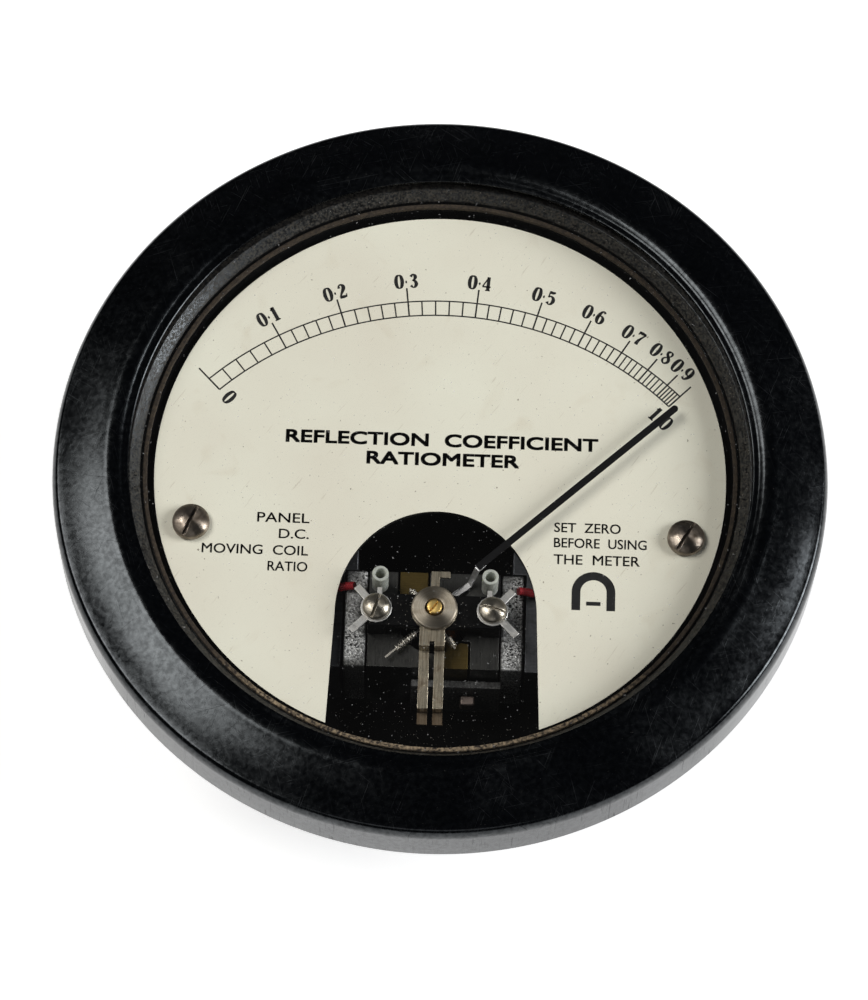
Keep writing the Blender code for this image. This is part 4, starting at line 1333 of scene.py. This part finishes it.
    def symbol(self) -> list[Piece]:
        """General sign of a moving-coil instrument: a horseshoe magnet over a coil bar."""
        place = HERE.on_dial(20.9, -16.2) @ lifted(INK_GAP)
        outer, inner, foot = 2.9, 1.75, -2.6
        shoe = [*arc(outer, 0, 180, 40), (-outer, foot), (-inner, foot), *arc(inner, 180, 0, 40), (inner, foot),
                (outer, foot)]
        coil = [(-0.95, -1.9), (0.95, -1.9), (0.95, -1.35), (-0.95, -1.35)]
        return [prism("shoe", shoe, 0.0, self.ink, place), prism("coil", coil, 0.0, self.ink, place)]

    def printing(self) -> None:
        """Scale, figures, title, side notes and sign, as one thin layer of ink."""
        made = [self.ticks(), self.band(self.outer_line), self.band(self.inner_line), *self.symbol()]
        numerals = Numerals()
        for index in range(1, 10):
            made += numerals.write(f"0·{index}", 2.12, self.at(self.figures, self.marks[index]), self.ink)
        for text, x, y in (("0", -28.9, 10.5), ("1·0", 29.6, 9.4)):
            made += numerals.write(text, 2.15, HERE.on_dial(x, y, -44.0) @ lifted(INK_GAP), self.ink)
        title, notes = (1.95, 0.17), (1.4, 0.03)
        left, right = -17.3, 15.5
        for text, span, foot, (height, weight) in (
            ("REFLECTION  COEFFICIENT", (-21.0, 21.2), 4.15, title), ("RATIOMETER", (-10.0, 10.6), 1.35, title),
            ("PANEL", (-24.3, left), -7.6, notes), ("D.C.", (-21.3, left), -9.9, notes),
            ("MOVING  COIL", (-31.5, left), -12.3, notes), ("RATIO", (-22.6, left), -14.6, notes),
            ("SET  ZERO", (right, 24.4), -7.7, notes), ("BEFORE  USING", (right, 27.9), -9.9, notes),
            ("THE  METER", (right, 27.0), -12.3, notes),
        ):
            made += self.words(text, span, foot, height, weight)
        dress(join("dial_printing", made), DIAL_INK, Body.CASE)

    def build(self) -> None:
        """Make the plate, its printing and its fixings."""
        self.plate()
        self.printing()
        for side, name, turn in ((-1, "left", 68.0), (1, "right", 60.0)):
            screw = SlottedScrew(2.5, 1.6, 0.44, 0.8, turn, 0.85, 5.7)
            place = HERE.on_dial(side * self.screws[0], self.screws[1]) @ lifted(0.3)
            dress(screw.build(f"dial_fixing_{name}", place, 96), DIAL_SCREW_METAL, Body.CASE, f"dial_screw_{name}")
            pillar = refine(f"dial_pillar_{name}", f"pillar_{name}", 0.1)
            dress(pillar, SPACER_BRASS, Body.CASE, f"dial_pillar_{name}")


# --- movement ----------------------------------------------------------------------------------
@dataclass
class MagnetBlock:
    """Frame plate, magnets, pole pieces, spacers, core, yokes and the resistor card."""

    edge: float = 0.08
    head: float = 1.6

    def build(self) -> None:
        """Refine each CAD shape and give it its own metal."""
        for node, name, finish, edge in (
            ("frame_plate", "base_plate", PLATE_BLACK, 0.15),
            ("magnet_left", "cast_magnet_left", MAGNET_METAL, 0.3),
            ("magnet_right", "cast_magnet_right", MAGNET_METAL, 0.3),
            ("pole_left", "pole_shoe_left", POLE_IRON, self.edge),
            ("pole_right", "pole_shoe_right", POLE_IRON, self.edge),
            ("spacer_upper", "brass_spacer_upper", SPACER_BRASS, 0.05),
            ("spacer_lower", "brass_spacer_lower", SPACER_BRASS, 0.05),
            ("core", "iron_core", POLE_IRON, self.edge),
            ("yoke_left", "yoke_slab_left", YOKE_IRON, 0.15),
            ("yoke_right", "yoke_slab_right", YOKE_IRON, 0.15),
            ("resistor_card", "card_blade", CARD_GREY, 0.12),
            ("card_post", "card_pillar", POST_METAL, 0.3),
            ("bottom_bridge", "lower_bar", BRIDGE_BLACK, 0.15),
        ):
            dress(refine(node, name, edge, 3), finish, Body.CASE, node)
        dress(refine("bottom_jewel_screw", "lower_jewel_screw", 0.06), JEWEL_BRASS, Body.CASE, "bottom_jewel_screw")
        for number in (1, 2, 3):
            place, tall = foot_of(f"frame_screw_{number}")
            reach = tall - self.head
            screw = SlottedScrew(2.4, self.head, 0.6, 0.7, 20.0 * number, 1.1, reach, ScrewHead.CHEESE)
            made = screw.build(f"plate_screw_{number}", place @ lifted(reach), 40)
            dress(made, SCREW_METAL, Body.CASE, f"frame_screw_{number}")


@dataclass
class UpperBridge:
    """Black bearing bar with its tags, screws, sleeves, lock disc and jewel screw."""

    screw_x: float = 7.7
    disc: float = 3.0
    sleeve: tuple[float, float, float, float] = (7.3, 4.35, 1.1, 0.68)

    def disc_piece(self) -> Piece:
        """Lock disc with fine turning grooves."""
        grooves = [(1.3 + 0.12 * step, 2.55 - (0.03 if step % 2 else 0.0)) for step in range(1, 13)]
        profile = [(1.25, 2.05), (self.disc - 0.05, 2.05), (self.disc, 2.1), (self.disc, 2.42),
                   (self.disc - 0.1, 2.52), *reversed(grooves), (1.3, 2.55), (1.25, 2.5)]
        return settle(lathe("grooved_disc", profile, HERE.on_axis(), 96), sharp=60.0)

    def build(self) -> None:
        """Make the bar and all that stands on it."""
        dress(refine("top_bridge", "bearing_bar", 0.12, 3), BRIDGE_BLACK, Body.CASE, "top_bridge")
        dress(self.disc_piece(), DISC_METAL, Body.CASE, "lock_disc")
        profile = [(0.0, 1.1), (0.5, 0.45), (1.0, 0.45), (1.0, 2.7), (0.93, 2.8), (0.8, 2.85), (0.0, 2.85)]
        jewel = lathe("jewel_screw", profile, HERE.on_axis(), 64)
        cut = bar("slot", (-2.0, 2.0), (-0.14, 0.14), (2.5, 4.0), HERE.on_axis(turn=55.0))
        dress(settle(jewel, cuts=[cut], edge=0.03), JEWEL_BRASS, Body.CASE, "top_jewel_screw")
        x, y, outer, inner = self.sleeve
        for side, name, turn in ((-1, "left", 72.0), (1, "right", -14.0)):
            dress(refine(f"tag_{name}", f"solder_tag_{name}", 0.13, 4), TAG_METAL, Body.CASE, f"tag_{name}")
            screw = SlottedScrew(1.8, 1.1, 0.36, 0.6, turn, 0.6, 7.1)
            place = HERE.on_axis(side * self.screw_x) @ lifted(1.9)
            dress(screw.build(f"bar_screw_{name}", place, 80), SCREW_METAL, Body.CASE, f"bridge_screw_{name}")
            wall = [(inner, -1.2), (outer, -1.2), (outer, 2.92), (outer - 0.08, 3.0),
                    (inner + 0.06, 3.0), (inner, 2.92)]
            sleeve = lathe(f"milky_sleeve_{name}", wall, HERE.on_axis(side * x, y), 48)
            dress(settle(sleeve), SLEEVE_WHITE, Body.CASE, f"stop_sleeve_{name}")


@dataclass
class ZeroLever:
    """Zero adjuster: hub, tail tab and stepped fork."""

    edge: float = 0.07

    def build(self) -> None:
        """Refine the CAD shape."""
        dress(refine("zero_adjuster", "zero_lever", self.edge, 3), LEVER_METAL, Body.ADJUSTER, "zero_adjuster")


@dataclass
class Leads:
    """Red sleeved leads from the solder tags under the dial to two terminals."""

    radius: float = 0.55
    route: tuple[tuple[float, float, float], ...] = (
        (-10.9, -15.9, -1.15), (-12.2, -15.8, -1.75), (-13.6, -15.8, -2.0), (-18.6, -14.6, -2.3), (-21.6, -9.0, -4.6),
        (-22.2, -2.0, -9.0), (-21.5, 3.0, -13.5), (-21.5, 3.0, -17.5), (-20.6, 7.0, -22.0), (-19.2, 11.0, -26.7))

    def build(self) -> None:
        """Sweep both leads."""
        for side, name in ((-1, "left"), (1, "right")):
            points = smooth_route([(-side * x, y, z) for x, y, z in self.route], 12)
            lead = tube(f"sleeved_lead_{name}", points, self.radius, HERE.on_dial(), 20)
            dress(settle(lead), LEAD_RED, Body.CASE, f"lead_{name}")


@dataclass
class MovingSystem:
    """Pointer, crank, crossed coils, balance arms with wire weights and the pivots."""

    pointer_angle: float = 42.8
    pointer_side: float = 0.6
    width: float = 0.95
    root: float = 8.1
    tip: float = 44.0
    coil_angle: float = -26.0
    crossing: float = 30.0
    turns: int = 9
    wire: float = 0.15
    pitch: float = 0.16
    corner: float = 0.5

    def blade(self) -> Piece:
        """Thin pointer blade with a rounded tip and rounded edges."""
        half = self.width / 2
        end = arc(half, -90, 90, 16, (self.tip - half, self.pointer_side))
        outline = [(self.root, self.pointer_side - half), *end, (self.root, self.pointer_side + half)]
        blade = prism("pointer", outline, 1.95, 2.2, HERE.on_axis(turn=self.pointer_angle))
        return settle(blade, edge=0.05)

    def coil(self, name: str, half: float, top: float, bottom: float, turn: float) -> Piece:
        """Rectangular coil of parallel wire turns laid side by side.

        Args:
            name: Name of the piece.
            half: Half the width of the coil.
            top: Height of its upper side.
            bottom: Height of its lower side.
            turn: Direction of the coil's plane.

        Returns:
            The wound coil.
        """
        sizes = {"Width": 2 * half * MM, "Height": (top - bottom) * MM, "Wire": self.wire / 2 * MM,
                 "Pitch": self.pitch * MM, "Turns": self.turns}
        pattern = Pattern(name + "_winding", sizes)
        loop = pattern.add("GeometryNodeCurvePrimitiveQuadrilateral", {
            "Width": pattern.given["Width"], "Height": pattern.given["Height"]})
        soft = pattern.add("GeometryNodeFilletCurve", {"Curve": loop, "Radius": self.corner * MM})
        ring = pattern.add("GeometryNodeCurvePrimitiveCircle", {"Resolution": 6, "Radius": pattern.given["Wire"]})
        wire = pattern.add("GeometryNodeCurveToMesh", {0: soft, 1: ring})
        row = pattern.add("GeometryNodeMeshLine", {"Count": pattern.given["Turns"],
                                                   "Offset": pattern.vector(0.0, 0.0, pattern.given["Pitch"])})
        placed = pattern.add("GeometryNodeInstanceOnPoints", {"Points": row, "Instance": wire})
        item = pattern.run(name, placed, WIRE_COPPER)
        stand = lifted((top + bottom) / 2) @ rotated(90.0, "X")
        place = HERE.on_axis(turn=turn) @ stand @ lifted(-(self.turns - 1) * self.pitch / 2)
        item.data.transform(in_metres(place))
        return item

    def weight(self, name: str, angle: float, start: float, end: float, turns: float) -> Piece:
        """Wire wound tightly round a balance arm."""
        place = HERE.on_axis(turn=angle) @ Matrix.Translation((start, 0.0, -1.425)) @ rotated(90.0, "Y")
        return helix(name, 0.36, end - start, turns, 0.13, WEIGHT_WIRE, place)

    def build(self) -> None:
        """Make every moving piece."""
        dress(self.blade(), POINTER_BLACK, Body.MOVEMENT, "pointer_blade")
        for node, name, edge, finish in (
            ("pointer_crank", "crank_strip", 0.05, CRANK_METAL), ("pivot_upper", "upper_pivot", 0.03, PIVOT_STEEL),
            ("pivot_lower", "lower_pivot", 0.03, PIVOT_STEEL), ("balance_cross", "balance_arms", 0.04, WEIGHT_WIRE),
        ):
            dress(refine(node, name, edge), finish, Body.MOVEMENT, node)
        inner = self.coil("inner_coil", 3.5, -3.12, -14.68, self.coil_angle)
        outer = self.coil("outer_coil", 4.2, -2.52, -15.28, self.coil_angle + self.crossing)
        dress(inner, WIRE_COPPER, Body.MOVEMENT, "coil_inner")
        dress(outer, WIRE_COPPER, Body.MOVEMENT, "coil_outer")
        for name, node, angle, start, end, turns in (
            ("tail_winding", "tail_weight", 223.0, 3.2, 6.8, 9.0),
            ("right_winding", "side_weight_right", 304.0, 3.4, 4.9, 5.0),
            ("upper_winding", "side_weight_upper", 130.0, 3.4, 4.9, 5.0),
        ):
            dress(self.weight(name, angle, start, end, turns), WEIGHT_WIRE, Body.MOVEMENT, node)


# --- dust ---------------------------------------------------------------------------------------
@dataclass
class DustFall:
    """Fine grains lying on the upward faces of the inside, scattered with a fixed seed."""

    grain: float = 0.06
    seed: int = 11
    sides: int = 180

    def scatter(self, name: str, surface: bpy.types.Mesh, density: float, seed: int) -> Piece:
        """Scatter grains over a surface.

        Args:
            name: Name of the piece.
            surface: Mesh whose faces catch the dust.
            density: Grains per square millimetre.
            seed: Seed of the scatter.

        Returns:
            The grains as one piece.
        """
        pattern = Pattern(name + "_scatter", {"Grain": self.grain * MM, "Density": density / MM ** 2, "Seed": seed})
        spots = pattern.add("GeometryNodeDistributePointsOnFaces", {
            "Mesh": pattern.given["Geometry"], "Density": pattern.given["Density"], "Seed": pattern.given["Seed"]})
        ball = pattern.add("GeometryNodeMeshIcoSphere", {"Radius": pattern.given["Grain"], "Subdivisions": 1})
        size, turn = (
            pattern.add("FunctionNodeRandomValue", {"Min": least, "Max": most, "Seed": pattern.given["Seed"]},
                        data_type="FLOAT_VECTOR")
            for least, most in (((0.25, 0.25, 0.2), (1.8, 1.0, 0.5)), ((0.0, 0.0, 0.0), (0.4, 0.4, 6.28))))
        placed = pattern.add("GeometryNodeInstanceOnPoints", {
            "Points": spots.outputs[0], "Instance": ball, "Rotation": turn, "Scale": size})
        return pattern.run(name, placed, DUST, surface)

    def level_faces(self, node: str, name: str) -> bpy.types.Mesh:
        """Copy of a CAD node's upward faces."""
        bm = bmesh.new()
        bm.from_mesh(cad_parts[node].data)
        bmesh.ops.delete(bm, geom=[face for face in bm.faces if face.normal.z < 0.7], context="FACES")
        return as_mesh(name, bm)

    def build(self) -> None:
        """Dust the mouth of the case, the base plate and the bearing bar."""
        bm = bmesh.new()
        low, high = ([bm.verts.new((*spot, HERE.rim + height)) for spot in arc(radius, 0, 358, self.sides - 1)]
                     for radius, height in ((40.35, 0.12), (41.5, 1.2)))
        for step in range(self.sides):
            after = (step + 1) % self.sides
            bm.faces.new((low[step], low[after], high[after], high[step]))
        bmesh.ops.scale(bm, vec=(MM, MM, MM), verts=bm.verts)
        for seed, (name, surface, density) in enumerate((
            ("mouth_dust", as_mesh("mouth_surface", bm), 1.3),
            ("plate_dust", self.level_faces("frame_plate", "plate_surface"), 0.035),
            ("bar_dust", self.level_faces("top_bridge", "bar_surface"), 0.4),
        ), self.seed):
            dress(self.scatter(name, surface, density, seed), DUST, Body.CASE)


# --- studio ----------------------------------------------------------------------------------------
@dataclass(frozen=True)
class SoftBox:
    """A square-cornered soft light that faces the instrument."""

    name: str
    azimuth: float
    elevation: float
    distance: float
    size: Spot
    radiance: float
    colour: Colour = (1.0, 1.0, 1.0)
    spin: float = 0.0

    def build(self) -> None:
        """Set up the light."""
        lamp = bpy.data.lights.new(self.name, "AREA")
        lamp.shape = "RECTANGLE"
        lamp.size, lamp.size_y = self.size
        lamp.energy = self.radiance * math.pi * self.size[0] * self.size[1]
        lamp.color = self.colour
        a, e = math.radians(self.azimuth), math.radians(self.elevation)
        away = Vector((math.cos(a) * math.cos(e), math.sin(a) * math.cos(e), math.sin(e)))
        item = show(self.name, lamp)
        item.location = Vector((0.0, 0.0, HERE.rim * MM)) + away * self.distance
        item.rotation_mode = "QUATERNION"
        item.rotation_quaternion = away.to_track_quat("Z", "Y") @ rotated(self.spin).to_quaternion()


@dataclass
class Studio:
    """Pale floor, soft lights and the camera."""

    lens: float = 152.87
    distance: float = 569.8
    tilt: float = 23.17
    roll: float = -1.89
    aim: Spot = (0.001507, 0.006971)
    boxes: tuple[SoftBox, ...] = (
        SoftBox("left_box", 166.0, 60.0, 1.0, (0.62, 0.36), 6.6, (1.0, 0.985, 0.955), 39.0),
        SoftBox("right_box", 0.0, 29.0, 1.0, (0.50, 0.50), 10.5, (0.98, 0.99, 1.0)),
        SoftBox("front_box", 266.0, 40.0, 1.2, (0.80, 0.40), 0.6, (1.0, 1.0, 1.0)),
    )
    ambient: float = 0.025

    def camera(self) -> None:
        """Camera in front of and above the dial, at a portrait lens's distance."""
        t, r = math.radians(self.tilt), math.radians(self.roll)
        level = Matrix(((1.0, 0.0, 0.0), (0.0, math.cos(t), math.sin(t)), (0.0, -math.sin(t), math.cos(t))))
        rolled = Matrix(((math.cos(r), -math.sin(r), 0.0), (math.sin(r), math.cos(r), 0.0), (0.0, 0.0, 1.0)))
        ahead = Vector((0.0, 0.0, -1.0))
        panned = ahead.rotation_difference(Vector((*self.aim, -1.0)).normalized()).to_matrix()
        view = (panned @ rolled @ level).transposed()
        data = bpy.data.cameras.new("front_camera")
        data.lens = self.lens
        data.sensor_width = 36.0
        data.clip_start, data.clip_end = 0.01, 10.0
        item = show("front_camera", data)
        centre = Vector((0.0, 0.0, HERE.rim))
        back = Vector((0.0, -math.sin(t), math.cos(t)))
        item.matrix_world = Matrix.Translation((centre + back * self.distance) * MM) @ view.to_4x4()
        bpy.context.scene.camera = item

    def floor(self) -> None:
        """Wide sheet of pale paper under the instrument."""
        across = (-2500.0, 2500.0)
        sheet = bar("studio_floor", across, across, (-5.0, 0.0), Matrix.Identity(4))
        sheet.data.materials.append(FLOOR_PAPER.material())

    def build(self) -> None:
        """Set up the studio."""
        world = bpy.data.worlds.new("studio_air")
        world.use_nodes = True
        air = world.node_tree.nodes["Background"].inputs
        air["Color"].default_value = (0.9, 0.95, 1.0, 1.0)
        air["Strength"].default_value = self.ambient
        bpy.context.scene.world = world
        bpy.context.scene.view_settings.view_transform = "Standard"
        self.floor()
        for box in self.boxes:
            box.build()
        self.camera()


def main() -> None:
    """Build the instrument's looks in order."""
    logging.basicConfig(level=logging.INFO, format="%(name)s %(message)s")
    for part in (Studio, FrontRing, CaseShell, Terminals, DialFace, MagnetBlock, UpperBridge, ZeroLever, Leads,
                 MovingSystem, DustFall):
        part().build()


if __name__ == "__main__":
    main()
